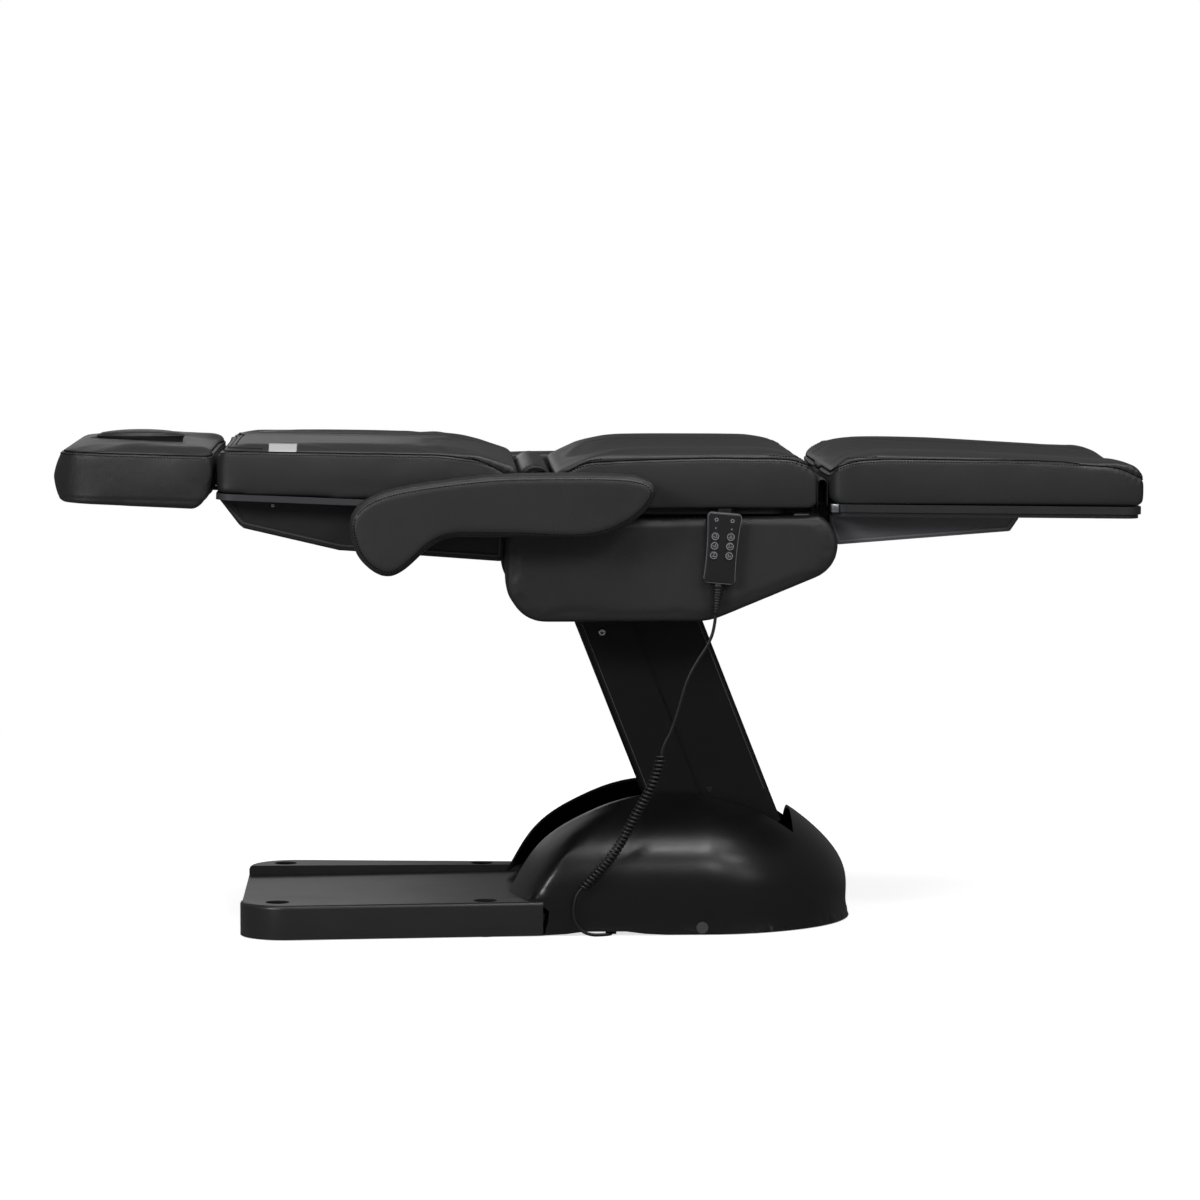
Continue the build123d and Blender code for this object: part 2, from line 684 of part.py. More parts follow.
# Vinyl strips folded up in the gaps between the cushions
gusset_wall = 2
gusset_half = 270
for name, x_a, x_b, low, high in (
    ("back_gusset", x_back_in, x_seat_out, back_underside + 4, seat_underside + 0.69 * seat_thickness),
    ("leg_gusset", x_seat_in, x_leg_in, seat_underside, seat_underside + 0.48 * seat_thickness),
):
    near, far = x_a + 2 * play, x_b - 2 * play
    round_rise = (far - near) / 2
    with BuildPart() as gusset:
        with BuildSketch(Plane.XZ):
            with BuildLine():
                Line((near, low), (near, high - round_rise))
                ThreePointArc((near, high - round_rise), ((near + far) / 2, high), (far, high - round_rise))
                Line((far, high - round_rise), (far, low))
                Line((far, low), (far - gusset_wall, low))
                Line((far - gusset_wall, low), (far - gusset_wall, high - round_rise))
                ThreePointArc(
                    (far - gusset_wall, high - round_rise), ((near + far) / 2, high - gusset_wall),
                    (near + gusset_wall, high - round_rise),
                )
                Line((near + gusset_wall, high - round_rise), (near + gusset_wall, low))
                Line((near + gusset_wall, low), (near, low))
            make_face()
        extrude(amount=gusset_half, both=True)
    save(gusset, name)

# Leg rest: cushion, stepped rim, moulded tub and frame on its hinge
leg_seam = 809
leg_rise = 13
leg_slope = radians(2.6)
leg_corner = 26
leg_shares = (
    (0.0, 0.065), (0.0, 0.59), (0.02, 0.77), (0.06, 0.91), (0.167, 1.0), (0.41, 0.97), (0.91, 0.80), (0.985, 0.68),
    (1.0, 0.54), (1.0, 0.0),
)
leg_points = spread(leg_shares, x_leg_in, leg_underside, leg_length, leg_thickness)
leg_board_slope = atan2(leg_thickness * 0.065, leg_length)
leg_rim_upper = 13
leg_rim_lip = 7
leg_rim_step = 4
leg_rim_wall = 6
leg_tub_half = 230
leg_tub_length = 321
leg_tub_drop = 44
leg_tub_shares = ((0.0, 0.60), (0.037, 0.0), (0.955, 0.39), (1.0, 0.76), (1.0, 1.0), (0.0, 1.0))
leg_rail_y = 190
leg_rail_length = 420
leg_rail_height = 12
leg_crank_radius = 50
leg_crank_angle = radians(-110)
leg_crank_eye = 15
leg_crank_lug = 20

with BuildPart() as legrest_cushion:
    add(cushion(
        leg_points, x_leg_in, x_leg_out, leg_underside, leg_seam, leg_slope,
        (leg_corner, leg_corner), leg_rise, bolstered_top,
    ))
save(legrest_cushion, "legrest_cushion")


def leg_plane(depth):
    """Plane of the leg rest board, a depth below the cushion, X towards the foot end."""
    z = leg_underside + leg_length * tan(leg_board_slope)
    return Plane(
        origin=(x_leg_in - depth * sin(leg_board_slope), 0, z - depth * cos(leg_board_slope)),
        x_dir=(cos(leg_board_slope), 0, -sin(leg_board_slope)),
        z_dir=(sin(leg_board_slope), 0, cos(leg_board_slope)),
    )


leg_run = leg_length - rim_inset
leg_rim_depth = play + leg_rim_upper + leg_rim_lip
with BuildPart() as legrest_rim:
    with BuildSketch(leg_plane(play)):
        with Locations((leg_length / 2, 0)):
            RectangleRounded(leg_run, 2 * rim_half, leg_corner)
    extrude(amount=-leg_rim_upper)
    with BuildSketch(leg_plane(play + leg_rim_upper)):
        with Locations((leg_length / 2, 0)):
            RectangleRounded(leg_run - 2 * leg_rim_step, 2 * (rim_half - leg_rim_step), leg_corner)
    extrude(amount=-leg_rim_lip)
    with BuildSketch(leg_plane(play + leg_rim_upper / 2)):
        with Locations((leg_length / 2, 0)):
            RectangleRounded(
                leg_run - 2 * leg_rim_step - 2 * leg_rim_wall, 2 * (rim_half - leg_rim_step - leg_rim_wall), leg_corner
            )
    extrude(amount=-leg_rim_upper - leg_rim_lip, mode=Mode.SUBTRACT)
save(legrest_rim, "legrest_rim")

leg_tub_x = leg_hinge_x
leg_tub_low = leg_hinge_height - 37
leg_cavity_depth = play + leg_rim_upper / 2
leg_tub_points = spread(leg_tub_shares, leg_tub_x, leg_tub_low, leg_tub_length, leg_tub_drop + leg_rim_upper)
leg_tub_top = leg_plane(leg_rim_depth + play)
with BuildPart() as legrest_tub:
    with BuildSketch(Plane.XZ):
        outline(leg_tub_points)
        fillet(vertices().group_by(Axis.Y)[:2], tub_edge / 2)
    extrude(amount=leg_tub_half, both=True)
    with BuildSketch(Plane.XZ):
        outline(leg_tub_points)
        offset(amount=-tub_wall)
    extrude(amount=leg_tub_half - tub_wall, both=True, mode=Mode.SUBTRACT)
    with BuildSketch(leg_tub_top):
        with Locations((leg_tub_length / 2, 0)):
            Rectangle(leg_tub_length + 4 * overrun, 2 * leg_tub_half + overrun)
    extrude(amount=leg_tub_drop, mode=Mode.SUBTRACT)
    with BuildSketch(Plane.YZ.offset(leg_tub_x - overrun)):
        for side in (-1, 1):
            with Locations((side * back_lug_y, leg_hinge_height)):
                Rectangle(4 * lug_thickness + 2 * hinge_pin_half, 2 * leg_tub_drop)
        with Locations((0, leg_hinge_height)):
            Rectangle(2 * (crank_lug_gap + crank_lug_thickness), 2 * leg_tub_drop)
    extrude(amount=overrun + 2 * hinge_boss_radius, mode=Mode.SUBTRACT)
save(legrest_tub, "legrest_tub")

leg_torsion = (leg_hinge_x + 2 * hinge_boss_radius, leg_hinge_height - tub_wall * 3)
leg_torsion_radius = 12
leg_crank = (
    leg_hinge_x + leg_crank_radius * cos(leg_crank_angle), leg_hinge_height + leg_crank_radius * sin(leg_crank_angle)
)
with BuildPart() as legrest_frame:
    with BuildSketch(leg_plane(leg_cavity_depth + play)):
        for side in (-1, 1):
            with Locations((leg_rail_length / 2 + 2 * hinge_boss_radius, side * (leg_rail_y + rail_width / 2))):
                Rectangle(leg_rail_length, rail_width)
        with Locations((leg_rail_length, 0)):
            Rectangle(rail_width, 2 * leg_rail_y)
    extrude(amount=-leg_rail_height)
    with BuildSketch(upright(leg_rail_y, *leg_torsion)):
        Circle(leg_torsion_radius)
    extrude(amount=2 * leg_rail_y)
    for side in (-1, 1):
        with BuildSketch(upright(side * back_lug_y + lug_thickness / 2)):
            with Locations((leg_hinge_x, leg_hinge_height)):
                Circle(hinge_boss_radius)
            with Locations(leg_torsion):
                Circle(leg_torsion_radius)
            with Locations((leg_torsion[0] + rail_width, leg_underside - 2 * leg_rim_upper / 3)):
                Circle(leg_rail_height / 3)
            make_hull()
            with Locations((leg_hinge_x, leg_hinge_height)):
                Circle(hinge_pin_radius + pin_play, mode=Mode.SUBTRACT)
        extrude(amount=lug_thickness)
        with BuildSketch(upright(side * (leg_rail_y + lug_thickness) + lug_thickness)):
            with Locations(leg_torsion):
                Circle(leg_torsion_radius)
        extrude(amount=2 * lug_thickness)
        with BuildSketch(upright(side * (crank_lug_gap + crank_lug_thickness) / 2 + crank_lug_thickness / 2)):
            crank_plate(leg_torsion, leg_crank, leg_torsion_radius, leg_crank_lug, leg_crank_eye)
        extrude(amount=crank_lug_thickness)
save(legrest_frame, "legrest_frame")

# Lift arms: two welded ladders that carry the seat carriage, each with its own cover shell
arm_length = hypot(arm_drop, arm_lean)
lean_angle = atan2(arm_lean, arm_drop)
lower_front = (lower_pivot_x, lower_pivot_height)
lower_rear = (lower_pivot_x + arm_pitch, lower_pivot_height)
arm_bar_y = 70
arm_bar_thickness = 14
arm_bar_depth = 34
arm_tube_radius = 14
lift_clevis_half = 20
brace_share = 0.79
brace_radius = 10
shell_wall = 3
shell_front_face = 52
shell_overlap = 40
rear_shell_reach = 72
front_shell_half = 112
rear_shell_half = front_shell_half - 2 * shell_wall
shell_start = 10
shell_end = 430
front_shell_round = 13
rear_shell_round = 8
screw_along = 389
screw_across = -14
screw_radius = 6.5
screw_head = 2.5
shell_post_radius = 6
cap_along = 106
cap_across = -44
cap_radius = 5
cap_head = 1.2


def arm_plane(pivot, y):
    """Side plane of a lift arm at depth y: X across the arm, Y along it from the lower pivot."""
    return Plane(
        origin=(pivot[0], y, pivot[1]), x_dir=(cos(lean_angle), 0, sin(lean_angle)), z_dir=(0, -1, 0)
    )


def lift_arm(pivot, open_end, name):
    """Two side bars joined by the pivot tubes; the lift motor's end shares one pin, so that tube is open."""
    with BuildPart() as arm:
        for side in (-1, 1):
            with BuildSketch(arm_plane(pivot, side * (arm_bar_y + arm_bar_thickness / 2) + arm_bar_thickness / 2)):
                with Locations((0, arm_length / 2)):
                    SlotCenterToCenter(arm_length, arm_bar_depth, rotation=90)
                with Locations((0, 0), (0, arm_length)):
                    Circle(lift_pin_radius + pin_play, mode=Mode.SUBTRACT)
            extrude(amount=arm_bar_thickness)
            for along in (0, arm_length):
                inner = lift_clevis_half if along == open_end else 0
                with BuildSketch(arm_plane(pivot, side * inner)):
                    with Locations((0, along)):
                        Circle(arm_tube_radius)
                        Circle(lift_pin_radius + pin_play, mode=Mode.SUBTRACT)
                extrude(amount=-side * (arm_bar_y - inner))
            if open_end == 0:
                half, posts = front_shell_half, [(screw_across, screw_along)]
            else:
                half, posts = rear_shell_half, [(0, shell_end - arm_bar_depth), (0, arm_length / 3)]
            with BuildSketch(arm_plane(pivot, side * (arm_bar_y + arm_bar_thickness))):
                with Locations(posts):
                    Circle(shell_post_radius)
            extrude(amount=-side * (half - shell_wall - arm_bar_y - arm_bar_thickness))
            if open_end == 0:
                stop = -shell_front_face + shell_wall + play
                with BuildSketch(arm_plane(pivot, side * (arm_bar_y + arm_bar_thickness / 2) + arm_bar_thickness / 2)):
                    with Locations((stop / 2, arm_length / 3)):
                        Rectangle(-stop, 2 * shell_post_radius)
                extrude(amount=arm_bar_thickness)
        if open_end == 0:
            with BuildSketch(arm_plane(pivot, arm_bar_y)):
                with Locations((0, brace_share * arm_length)):
                    Circle(brace_radius)
            extrude(amount=2 * arm_bar_y)
    save(arm, name)


lift_arm(lower_front, 0, "front_arm")
lift_arm(lower_rear, arm_length, "rear_arm")

def shell(pivot, closed, open_edge, half, round_radius, name):
    """U-shaped cover of one arm: a closed face across it, two rounded corners and two side walls."""
    way = 1 if open_edge > closed else -1
    with BuildPart() as cover:
        for wall, extra in ((0, 0), (shell_wall, overrun)):
            start, end = closed + way * wall, open_edge + way * extra
            with BuildPart(mode=Mode.SUBTRACT if wall else Mode.ADD) as block:
                with BuildSketch(arm_plane(pivot, 0)):
                    with Locations(((start + end) / 2, (shell_start + shell_end) / 2)):
                        Rectangle(abs(end - start), shell_end - shell_start + extra)
                extrude(amount=half - wall, both=True)
                long_edges = block.edges().filter_by(lambda e: e.length > (shell_end - shell_start) * 0.99)
                fillet(long_edges.sort_by(Axis.X, reverse=way < 0)[:2], round_radius - wall)
    save(cover, name)


shell(lower_front, -shell_front_face, shell_overlap, front_shell_half, front_shell_round, "front_shell")
shell(lower_rear, shell_front_face, -rear_shell_reach, rear_shell_half, rear_shell_round, "rear_shell")

for pivot, across, along, radius, head, half, name in (
    (lower_front, screw_across, screw_along, screw_radius, screw_head, front_shell_half, "shell_screws"),
    (lower_rear, cap_across, cap_along, cap_radius, cap_head, rear_shell_half, "shell_caps"),
):
    with BuildPart() as heads:
        for side in (-1, 1):
            with BuildSketch(arm_plane(pivot, side * half)):
                with Locations((across, along)):
                    Circle(radius)
            extrude(amount=-side * head)
        fillet(heads.faces().sort_by(Axis.Y)[0].edges(), head / 2)
        fillet(heads.faces().sort_by(Axis.Y)[-1].edges(), head / 2)
    save(heads, name)

for level, pivots, name in (
    (carriage_inner + carriage_thickness + play * 6, (upper_front, upper_rear), "upper_pivot_pins"),
    (carriage_inner + carriage_thickness + play * 6, (lower_front, lower_rear), "lower_pivot_pins"),
):
    with BuildPart() as pins:
        for pivot in pivots:
            with BuildSketch(upright(level, *pivot)):
                Circle(lift_pin_radius)
            extrude(amount=2 * level)
    save(pins, name)

# Base: welded frame on levelling feet, under a flat front cover and a domed rear cover
plate_x = lower_pivot_x - 769
plate_corner = 78
plate_edge = 7
plate_end = plate_x + plate_length
tray_tail = 150
foot_hole_radius = 20
foot_y = 245
foot_rear_y = 236.5
foot_inset = 64
foot_pitch = 346
rear_foot_x = dome_centre_x + 190
rear_foot_y = 105
foot_pad_radius = 20
foot_pad_height = 6
foot_screw_radius = 6
foot_screw_height = 50
foot_boss_radius = 13
frame_low = 12
frame_tube_height = 26
frame_tube_width = 30
frame_rail_y = 210
frame_rail_end = dome_centre_x + 8
bearing_height = 26
bearing_thickness = 8
bearing_boss = 22
gland_x = 28.5
gland_y = -236
gland_size = 18
gland_height = 11
foot_places = [(plate_x + foot_inset, side * foot_y) for side in (-1, 1)]
foot_places += [(plate_x + foot_inset + foot_pitch, side * foot_rear_y) for side in (-1, 1)]
foot_places += [(rear_foot_x, side * rear_foot_y) for side in (-1, 1)]
frame_top = frame_low + frame_tube_height


def plate_outline(inset):
    """Plan of the front cover: wide rounded front, tapering to the dome."""
    front, rear = plate_width / 2 - inset, plate_rear_width / 2 - inset
    Polygon(
        (plate_x + inset, -front), (plate_end, -rear), (plate_end, rear), (plate_x + inset, front), align=None
    )
    fillet(vertices().group_by(Axis.X)[0], plate_corner - inset)


with BuildPart() as front_cover:
    with BuildSketch(Plane.XY.offset(floor_gap)):
        plate_outline(0)
    extrude(amount=plate_height - floor_gap)
    fillet(faces().sort_by(Axis.Z)[-1].edges().filter_by(lambda e: e.center().X < plate_end - play), plate_edge)
    with BuildSketch(Plane.XY.offset(floor_gap)):
        plate_outline(cover_wall)
        with Locations(((plate_x + plate_end) / 2, 0)):
            Rectangle(plate_length + overrun, tray_width + 2 * cover_wall, mode=Mode.SUBTRACT)
    extrude(amount=plate_height - cover_wall - floor_gap, mode=Mode.SUBTRACT)
    with BuildSketch(Plane.XY.offset(floor_gap)):
        with Locations(((plate_x + cover_wall + plate_end + overrun) / 2, 0)):
            Rectangle(plate_length - cover_wall + overrun, tray_width + 2 * cover_wall + play)
    extrude(amount=tray_height - cover_wall - floor_gap, mode=Mode.SUBTRACT)
    with BuildSketch(Plane.XY.offset(tray_height)):
        with Locations(((plate_x + plate_end) / 2, 0)):
            Rectangle(plate_length + 2 * overrun, tray_width)
    extrude(amount=plate_height, mode=Mode.SUBTRACT)
    with BuildSketch(Plane.XY.offset(tray_height)):
        with Locations((plate_end + tray_tail / 2 - cover_wall / 2, 0)):
            Rectangle(tray_tail + cover_wall, tray_width - 2 * cover_wall)
    extrude(amount=-cover_wall)
    with BuildSketch(Plane.XY.offset(plate_height + overrun)):
        with Locations(foot_places[:4]):
            Circle(foot_hole_radius)
    extrude(amount=-plate_height, mode=Mode.SUBTRACT)
save(front_cover, "front_cover")

with BuildPart() as base_frame:
    with BuildSketch(Plane.XY.offset(frame_low)):
        for side in (-1, 1):
            with Locations(((plate_x + plate_corner / 2 + frame_rail_end) / 2, side * (frame_rail_y + frame_tube_width / 2))):
                Rectangle(frame_rail_end - plate_x - plate_corner / 2, frame_tube_width)
            with Locations(((lower_pivot_x + rear_foot_x) / 2, side * rear_foot_y)):
                Rectangle(rear_foot_x - lower_pivot_x + frame_tube_width, frame_tube_width)
        for x in (
            foot_places[0][0], foot_places[2][0], lower_pivot_x - frame_tube_width,
            lower_pivot_x + frame_tube_width / 2,
        ):
            with Locations((x, 0)):
                Rectangle(frame_tube_width, 2 * frame_rail_y + frame_tube_width)
        with Locations((rear_foot_x, 0)):
            Rectangle(frame_tube_width, 2 * rear_foot_y)
        with Locations(foot_places):
            Circle(foot_boss_radius)
    extrude(amount=frame_tube_height)
    for side in (-1, 1):
        with BuildSketch(upright(side * (carriage_inner + bearing_thickness / 2) + bearing_thickness / 2)):
            with Locations(lower_front, lower_rear):
                Circle(bearing_boss)
            outline([
                (lower_front[0] - bearing_boss, lower_pivot_height), (lower_front[0] - 2 * bearing_boss, frame_low),
                (lower_rear[0] + 2 * bearing_boss, frame_low), (lower_rear[0] + bearing_boss, lower_pivot_height),
                (lower_rear[0], lower_pivot_height + bearing_boss), (lower_front[0], lower_pivot_height + bearing_boss),
            ])
            with Locations(lower_front, lower_rear):
                Circle(lift_pin_radius + pin_play, mode=Mode.SUBTRACT)
        extrude(amount=bearing_thickness)
    with BuildSketch(Plane.XY.offset(frame_low)):
        with Locations((gland_x, gland_y + gland_size / 2)):
            Rectangle(gland_size, gland_size)
    extrude(amount=-gland_height)
    with BuildSketch(Plane.XY.offset(frame_low - overrun)):
        with Locations(foot_places):
            Circle(foot_screw_radius + pin_play)
    extrude(amount=frame_tube_height + 2 * overrun, mode=Mode.SUBTRACT)
save(base_frame, "base_frame")

with BuildPart() as levelling_feet:
    with BuildSketch(Plane.XY):
        with Locations(foot_places):
            Circle(foot_pad_radius)
    extrude(amount=foot_pad_height)
    with BuildSketch(Plane.XY):
        with Locations(foot_places):
            Circle(foot_screw_radius)
    extrude(amount=foot_screw_height)
save(levelling_feet, "levelling_feet")

# Dome sections from the floor up: height, then half width, front, side front, centre and rear as shares
dome_sections = (
    (0.035, 1.00, -1.353, -1.098, 0.0, 1.0),
    (0.26, 0.995, -1.245, -1.06, 0.0, 0.98),
    (0.46, 0.98, -1.196, -1.02, 0.0, 0.93),
    (0.66, 0.894, -1.125, -0.92, 0.0, 0.788),
    (0.83, 0.725, -0.941, -0.80, 0.0, 0.608),
    (0.94, 0.57, -0.72, -0.62, -0.02, 0.40),
    (1.00, 0.49, -0.38, -0.30, -0.08, 0.05),
)
slot_rear_x = dome_centre_x + 0.6 * dome_rear_radius
side_cap_radius = 10
side_cap_height = 14
side_cap_thickness = 2.5
side_cap_stem = 3
inlet_width = 48
inlet_height = 22
inlet_depth = 26
inlet_z = 40


def dome_section(shares, wall):
    """One level of the dome: a front arc, two straight sides and a rear arc, drawn in by a wall."""
    level, half, front, side_front, centre, rear = shares
    reach = dome_rear_radius
    y = half * reach - wall
    x_side, x_centre = dome_centre_x + side_front * reach + wall, dome_centre_x + centre * reach
    x_front, x_rear = dome_centre_x + front * reach + wall, dome_centre_x + rear * reach - wall
    with BuildSketch(Plane.XY.offset(level * dome_height - (wall if level > 0.9 else wall * level))) as section:
        with BuildLine():
            ThreePointArc((x_side, y), (x_front, 0), (x_side, -y))
            Line((x_side, -y), (x_centre, -y))
            ThreePointArc((x_centre, -y), (x_rear, 0), (x_centre, y))
            Line((x_centre, y), (x_side, y))
        make_face()
    return section.sketch


with BuildPart() as dome_cover:
    loft([dome_section(shares, 0) for shares in dome_sections])
    loft([dome_section(shares, cover_wall) for shares in dome_sections], mode=Mode.SUBTRACT)
    with BuildSketch(Plane.XY.offset(floor_gap + overrun)):
        with Locations(((plate_x + slot_rear_x) / 2, 0)):
            Rectangle(slot_rear_x - plate_x, slot_width)
    extrude(amount=dome_height + overrun, mode=Mode.SUBTRACT)
    with BuildSketch(Plane.XY.offset(plate_height + play)):
        with Locations(((plate_x + plate_end) / 2 + play, 0)):
            Rectangle(plate_length, plate_width)
    extrude(amount=-plate_height, mode=Mode.SUBTRACT)
    with BuildSketch(Plane.XY.offset(frame_top + play)):
        for side in (-1, 1):
            with Locations((plate_end, side * (frame_rail_y + frame_tube_width / 2))):
                Rectangle(2 * overrun, frame_tube_width + 2 * play)
    extrude(amount=-frame_top, mode=Mode.SUBTRACT)
    with BuildSketch(upright(-dome_rear_radius - overrun, lower_pivot_x + side_cap_radius, side_cap_height)):
        Circle(side_cap_stem + play)
    extrude(amount=-2 * dome_rear_radius - 2 * overrun, mode=Mode.SUBTRACT)
    with BuildSketch(Plane.YZ.offset(dome_centre_x + dome_rear_radius / 2)):
        with Locations((0, inlet_z)):
            Rectangle(inlet_width + 2 * play, inlet_height + 2 * play)
    extrude(amount=dome_rear_radius, mode=Mode.SUBTRACT)
save(dome_cover, "dome_cover")

with BuildPart() as side_caps:
    for side in (-1, 1):
        with BuildSketch(upright(side * (dome_rear_radius + play), lower_pivot_x + side_cap_radius, side_cap_height)):
            Circle(side_cap_radius)
        extrude(amount=-side * side_cap_thickness)
        with BuildSketch(upright(side * (dome_rear_radius + play), lower_pivot_x + side_cap_radius, side_cap_height)):
            Circle(side_cap_stem)
        extrude(amount=side * 2 * cover_wall)
save(side_caps, "side_caps")

with BuildPart() as power_inlet:
    with BuildSketch(Plane.YZ.offset(dome_centre_x + dome_rear_radius - cover_wall)):
        with Locations((0, inlet_z)):
            Rectangle(inlet_width, inlet_height)
    extrude(amount=-inlet_depth)
    with BuildSketch(Plane.YZ.offset(dome_centre_x + dome_rear_radius - cover_wall)):
        with Locations((0, inlet_z)):
            Rectangle(inlet_width / 2, inlet_height / 2)
    extrude(amount=-inlet_depth / 2, mode=Mode.SUBTRACT)
save(power_inlet, "power_inlet")

control_length = 80
control_width = 120
control_height = 42
with BuildPart() as control_box:
    with BuildSketch(Plane.XY.offset(frame_top)):
        with Locations((rear_foot_x - inlet_depth, 0)):
            RectangleRounded(control_length, control_width, plate_edge)
    extrude(amount=control_height)
save(control_box, "control_box")

# Motors: each a tube with its gearbox, hung on its own pins, and a rod that slides in the tube
motor_tube_radius = 18
motor_rod_radius = 9
motor_side_radius = 17
motor_side_length = 110
motor_side_offset = motor_tube_radius + motor_side_radius + 2
clevis_half = motor_lug_y - play
rod_eye_radius = 12
rod_eye_half = crank_lug_gap / 2 - play
rod_pin_radius = 6
tube_start = motor_lug_half + 10
lift_rod_drift = 6.2


def motor(pin, end, tube_length, retraction, pin_radius, pin_half, side, name):
    """Motor tube, gearbox and motor on their mounting pin, and the rod, which can retract, to the driven pin."""
    rod_start = motor_tube_radius + tube_start + retraction + play
    reach = hypot(end[0] - pin[0], end[1] - pin[1])
    angle = atan2(end[1] - pin[1], end[0] - pin[0])
    along = (cos(angle), 0, sin(angle))
    axis = Plane(origin=(pin[0], 0, pin[1]), x_dir=(0, 1, 0), z_dir=along)
    with BuildPart() as housing:
        with BuildSketch(axis.offset(tube_start)):
            Circle(motor_tube_radius)
        extrude(amount=tube_length - tube_start)
        with BuildSketch(axis.offset(tube_start)):
            with Locations((0, 0), (side * motor_side_offset, 0)):
                Circle(motor_side_radius)
            make_hull()
        extrude(amount=motor_tube_radius)
        with BuildSketch(axis.offset(tube_start)):
            with Locations((side * motor_side_offset, 0)):
                Circle(motor_side_radius)
        extrude(amount=motor_side_length)
        with BuildSketch(axis.offset(motor_tube_radius + tube_start)):
            Circle(motor_rod_radius + play)
        extrude(amount=tube_length, mode=Mode.SUBTRACT)
        with BuildSketch(upright(clevis_half, *pin)):
            Circle(motor_lug_half)
        extrude(amount=2 * clevis_half)
        with BuildSketch(axis):
            Rectangle(2 * clevis_half, 1.6 * motor_lug_half)
        extrude(amount=tube_start + play)
        if pin_half:
            with BuildSketch(upright(pin_half, *pin)):
                Circle(pin_radius)
            extrude(amount=2 * pin_half)
        else:
            with BuildSketch(upright(clevis_half + overrun, *pin)):
                Circle(pin_radius + pin_play)
            extrude(amount=2 * (clevis_half + overrun), mode=Mode.SUBTRACT)
    save(housing, f"{name}_motor")
    with BuildPart() as rod:
        with BuildSketch(axis.offset(rod_start)):
            Circle(motor_rod_radius)
        extrude(amount=reach - rod_start)
        with BuildSketch(upright(rod_eye_half, *end)):
            Circle(rod_eye_radius if pin_half else rod_eye_radius + lift_rod_drift)
        extrude(amount=2 * rod_eye_half)
        if pin_half:
            with BuildSketch(upright(crank_lug_gap / 2 + crank_lug_thickness, *end)):
                Circle(rod_pin_radius)
            extrude(amount=crank_lug_gap + 2 * crank_lug_thickness)
        else:
            with BuildSketch(upright(rod_eye_half + overrun, *end)):
                Circle(lift_rod_bore)
            extrude(amount=2 * (rod_eye_half + overrun), mode=Mode.SUBTRACT)
    save(rod, f"{name}_rod")


lift_rod_bore = lift_pin_radius + pin_play + lift_rod_drift
lug_reach_y = motor_lug_y + lug_thickness
motor((back_motor_x, motor_mount_height), (crank_x, crank_height), 160, 0, motor_pin_radius, lug_reach_y, 1, "back")
motor((leg_motor_x, motor_mount_height), leg_crank, 160, 33, motor_pin_radius, lug_reach_y, -1, "leg")
motor(lower_front, upper_rear, 340, 71, lift_pin_radius, 0, 1, "lift")

# Handset with six keys on a hanger at the seat's side, and its curly lead
handset_x = lower_pivot_x + 44
handset_top = 725
handset_back = 292
handset_width = 60
handset_foot_width = 55
handset_waist = 3
handset_length = 120
handset_depth = 22
handset_tilt = radians(5)
handset_corner = 7
handset_edge = 4
hanger_radius = 3
hanger_plate = 4
hanger_width = 34
hanger_height = 724.5
tab_width = 22
tab_height = 13
tab_depth = 9
key_radius = 7.25
key_rise = 1.6
key_well = 3
key_column = 13
key_pitch = 16
key_first = 41
relief_length = 52
relief_start = 10.5
relief_end = 3.4
relief_ribs = 6
relief_depth = 1.2

handset_plane = Plane(
    origin=(handset_x, -handset_back, handset_top), x_dir=(cos(handset_tilt), 0, -sin(handset_tilt)), z_dir=(0, -1, 0)
)
key_names = ("back_up", "back_down", "lift_up", "lift_down", "leg_up", "leg_down")
key_places = [
    (side * key_column, -key_first - row * key_pitch + (side * key_pitch / 16 if side > 0 else 0))
    for side in (-1, 1) for row in range(3)
]

with BuildPart() as handset_shell:
    with BuildSketch(handset_plane):
        with BuildLine():
            top, foot = handset_width / 2, handset_foot_width / 2
            Line((-top, 0), (top, 0))
            ThreePointArc((top, 0), ((top + foot) / 2 - handset_waist, -handset_length * 0.6), (foot, -handset_length))
            Line((foot, -handset_length), (-foot, -handset_length))
            ThreePointArc((-foot, -handset_length), (handset_waist - (top + foot) / 2, -handset_length * 0.6), (-top, 0))
        make_face()
        fillet(vertices(), handset_corner)
    extrude(amount=handset_depth)
    fillet(faces().sort_by(Axis.Y)[0].edges(), handset_edge)
    with BuildSketch(handset_plane.offset(handset_depth)):
        with Locations(key_places):
            Circle(key_radius + play)
    extrude(amount=-key_well, mode=Mode.SUBTRACT)
    with BuildSketch(upright(-handset_back, handset_x, hanger_height)):
        Rectangle(tab_width, tab_height)
    extrude(amount=tab_depth)
    with BuildSketch(upright(-handset_back + overrun, handset_x, hanger_height)):
        Circle(hanger_radius + play)
    extrude(amount=overrun + tab_depth, mode=Mode.SUBTRACT)
save(handset_shell, "handset_shell")

for name, place in zip(key_names, key_places):
    with BuildPart() as key:
        with BuildSketch(handset_plane.offset(handset_depth - key_well + key_rise)):
            with Locations(place):
                Circle(key_radius)
        extrude(amount=key_well)
        fillet(faces().sort_by(Axis.Y)[0].edges(), key_rise / 2)
    save(key, f"key_{name}")

with BuildPart() as handset_hanger:
    with BuildSketch(upright(-(couch_width / 2 - board_inset) - play, handset_x, seat_board_low)):
        with Locations((0, seat_board_thickness / 2)):
            Rectangle(hanger_width, seat_board_thickness - 2 * play)
    extrude(amount=hanger_plate)
    with BuildSketch(upright(-(couch_width / 2 - board_inset) - play, handset_x, hanger_height)):
        Circle(hanger_radius)
    extrude(amount=handset_back - couch_width / 2 + board_inset + tab_depth - 2 * play)
save(handset_hanger, "handset_hanger")

